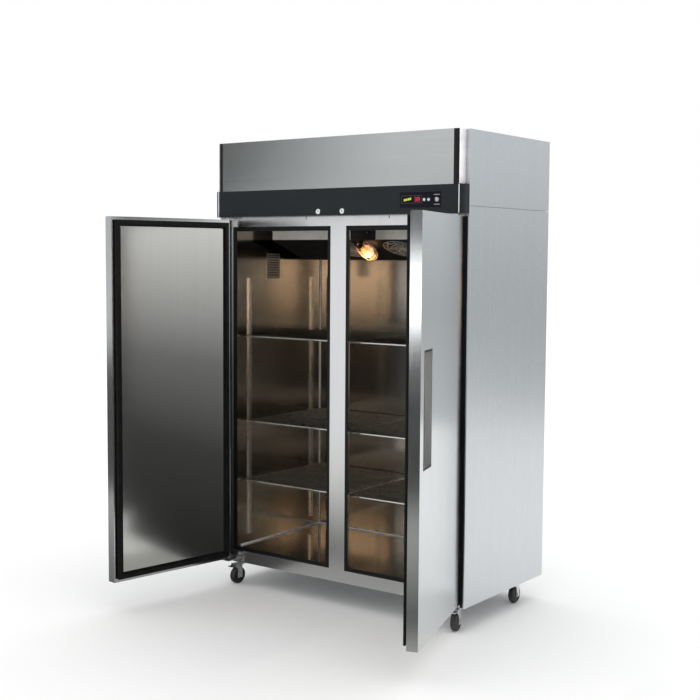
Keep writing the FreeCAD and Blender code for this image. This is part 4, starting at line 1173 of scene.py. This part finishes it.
def machine_pipes():
    """Copper pipes from the compressor to the condenser, and the compressor's terminal box."""
    low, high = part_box("compressor")
    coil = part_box("condenser_coil")[0]
    y = (low.y + high.y) / 2
    start = Vector((high.x - 40 * MM, y, low.z + 90 * MM))
    bm = bmesh.new()
    for height, lateral in scaled([(60, 60), (40, 110)]):
        z = start.z + height
        points = [
            start + Vector((0, lateral - 80 * MM, 0)),
            start + Vector((50 * MM, lateral - 80 * MM, 0)),
            start + Vector((80 * MM, lateral - 60 * MM, height / 2)),
            start + Vector((110 * MM, lateral, height)),
            Vector((coil.x - 30 * MM, lateral, z)),
            Vector((coil.x - 12 * MM, coil.y + 60 * MM, z)),
            Vector((coil.x + 1 * MM, coil.y + 45 * MM, z)),
        ]
        add_tube(bm, rounded(points, 3), 4.8 * MM, 12)
    piece("copper_pipes", bm, "copper")
    x, half = low.x, 35 * MM
    terminal = [((x - 6 * MM, y - half, low.z + 60 * MM), (x + 30 * MM, y + half, low.z + 120 * MM))]
    boxes("compressor_terminal_box", terminal, "black_plastic", 0.003)


def rear_details():
    """Grommet of the mains cord entry, and the screws of the rear grille."""
    entry = [mount for mount in RECORD["mounts"] if mount["name"] == "cord_entry"][0]
    grommet = [(8.5, -3), (8.5, 0.9), (15, 0.9), (15.5, 0.4), (15, 0), (10.8, 0), (10.8, -3)]
    bm = bmesh.new()
    add_washer(bm, entry["pos_m"], (0, 1, 0), scaled(grommet))
    piece("cord_grommet", bm, "gasket")
    low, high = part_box("rear_grille")
    spots = []
    for share in (0.02, 0.25, 0.5, 0.75, 0.98):
        x = low.x + (high.x - low.x) * share
        for z in (low.z + 14 * MM, high.z - 12 * MM):
            spots.append((x, high.y - 2.2 * MM, z))
    screws("rear_grille_screws", spots, (0, 1, 0), 4 * MM)


# ---- finishes
# by the short names that piece() and NODE_FINISH give them: material name, grain, tint, roughness
# from and to, depth of the scratches, smudges
BRUSHED = {
    "side": ("side_panel_steel", "z", (0.60, 0.62, 0.64), (0.22, 0.28)),
    "door": ("door_steel", "z", (0.60, 0.62, 0.63), (0.13, 0.18)),
    "front": ("front_steel", "z", (0.66, 0.67, 0.68), (0.16, 0.22)),
    "service": ("service_panel_steel", "x", (0.58, 0.59, 0.59), (0.17, 0.24)),
    "inner": ("door_inner_steel", "z", (0.66, 0.66, 0.65), (0.12, 0.16), 0.015, 0.01),
    # painted light and shade: the liners' warm, darker tint stands for the lamp's warm light and the
    # shade inside the cabinet
    "liner": ("liner_steel", "z", (0.45, 0.41, 0.355), (0.11, 0.16), 0.05, 0.02),
    "liner_floor": ("liner_floor_steel", "x", (0.45, 0.41, 0.355), (0.05, 0.09), 0.05, 0.02),
    "pilaster": ("pilaster_steel", "z", (0.84, 0.83, 0.82), (0.22, 0.30)),
    "cup": ("pull_cup_steel", "z", (0.66, 0.67, 0.68), (0.34, 0.40)),
    "plate": ("rating_plate_face", "y", (0.62, 0.60, 0.56), (0.35, 0.5)),
}
# material name, tint, roughness from and to, texture per metre and its depth, gloss, coat
COATED = {
    # painted reflection: the cover's pale warm grey stands for the bright, lamp-warmed reflection on
    # its front
    "cover": ("evaporator_cover_paint", (0.62, 0.60, 0.55), (0.34, 0.44), 700, 0.1),
    "guard_wire": ("guard_wire_coating", (0.30, 0.30, 0.29), (0.30, 0.42), 700, 0.15),
    # painted highlight: flat white for edges that catch the light, on the corner strips and the liner
    # beads
    "trim": ("bright_trim", (0.92, 0.93, 0.94), (0.25, 0.35), 700, 0.05),
    # painted warm light: amber tint for the lamp basket's wires
    "lamp_glow_wire": ("lamp_wire_coating", (0.80, 0.52, 0.30), (0.25, 0.38), 900, 0.1),
    "black_steel": ("black_enamel", (0.016, 0.016, 0.017), (0.28, 0.40), 260, 0.25),
    # black moulding, also used as painted shade: pull-pocket strips, keyways and header notches
    "black_plastic": ("black_moulding", (0.006, 0.006, 0.0065), (0.44, 0.56), 900, 0.3, 0.35),
    "fascia": ("fascia_moulding", (0.011, 0.015, 0.018), (0.42, 0.52), 1100, 0.3, 0.3),
    "display": ("display_window", (0.006, 0.006, 0.012), (0.30, 0.38), 500, 0.03, 0.12),
    "display_rim": ("display_rim", (0.05, 0.055, 0.07), (0.25, 0.35), 900, 0.1),
    "button": ("button_white", (0.78, 0.78, 0.76), (0.35, 0.45), 900, 0.15),
    "white_print": ("white_print", (0.80, 0.80, 0.80), (0.45, 0.6), 900, 0.1),
    "plate_rule": ("rating_plate_ink", (0.16, 0.15, 0.14), (0.5, 0.6), 900, 0.1),
    # black of the real breaker strips, also used as the painted shade beside the hinge edges
    "strip": ("breaker_strip_black", (0.006, 0.006, 0.0065), (0.30, 0.42), 900, 0.2, 0.2),
}
# material name, tint, roughness from and to
PLATED = {
    "chrome": ("bright_chrome", (0.88, 0.88, 0.88), (0.04, 0.10)),
    "zinc": ("zinc_plating", (0.66, 0.67, 0.68), (0.20, 0.34)),
    "shelf_wire": ("shelf_wire_plating", (0.46, 0.46, 0.43), (0.24, 0.36)),
}


def finishes():
    bulb_low, bulb_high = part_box("lamp_bulb")
    made = {
        "galvanised": galvanised(),
        "foam": closed_foam(),
        "copper": copper_tube(),
        "fins": finned_aluminium(),
        "gasket": rubber("gasket_rubber_black", (0.004, 0.004, 0.0045)),
        "tyre": tyre(),
        "red_glow": glowing("red_figures", (1.0, 0.05, 0.10), 0.9),
        "lime_glow": glowing("lime_bar", (0.50, 0.62, 0.02), 0.6),
        "bulb": bulb_glass(bulb_low.y, bulb_high.y),
    }
    for maker, rows in ((brushed_steel, BRUSHED), (coated, COATED), (plated, PLATED)):
        for key, row in rows.items():
            made[key] = maker(*row)
    return made


NODE_FINISH = {
    "side": "*_side_panel upper_side_panels",
    "galvanised": "back_panel rear_grille base_pan machine_deck condenser_shroud",
    "foam": "foam_insulation *_door_foam",
    "liner": "wall_liners",
    "cover": "evaporator_cover",
    "liner_floor": "floor_liner ceiling_liner",
    "front": "face_frame",
    "strip": "breaker_strips",
    "service": "service_panel",
    "black_plastic": "end_caps fan_deck fan_motors *_fan lamp_holder",
    "fascia": "control_fascia",
    "display": "display_module",
    "button": "*_button",
    "chrome": "*_lock_core",
    "guard_wire": "fan_guards",
    "fins": "*_coil",
    "bulb": "lamp_bulb",
    "zinc": "shelf_clips hinge_brackets caster_plates *_fork *_brake_lever",
    "black_steel": "compressor",
    "door": "*_door_outer",
    "cup": "*_pull_cup",
    "inner": "*_door_inner",
    "gasket": "*_door_gasket",
    "shelf_wire": "*_shelves",
    "pilaster": "pilasters",
    "tyre": "*_wheel",
}


def dress_nodes():
    """Gives each CAD node its finish."""
    for key, patterns in NODE_FINISH.items():
        for pattern in patterns.split():
            for name in fnmatch.filter(frame["nodes"], pattern):
                mesh = frame["nodes"][name].data
                if not mesh.materials:
                    mesh.materials.append(FINISH[key])
                for index in range(len(mesh.materials)):
                    mesh.materials[index] = FINISH[key]


camera()
FINISH = finishes()
dress_nodes()
for door_side in ("left", "right"):
    door_turn = door_swing(door_side)
    gasket(door_side, door_turn)
    pull_detail(door_side, door_turn)
    door_screws(door_side, door_turn)
display_face()
lock_details()
corner_trims()
header_notches()
hinge_gap_shade_strips()
pilasters()
wire_shelves()
lamp()
data_plate()
liner_highlight_beads()
inside_screws()
wall_clips()
hinge_screws()
caster_details()
machine_pipes()
rear_details()
floor_and_lights()
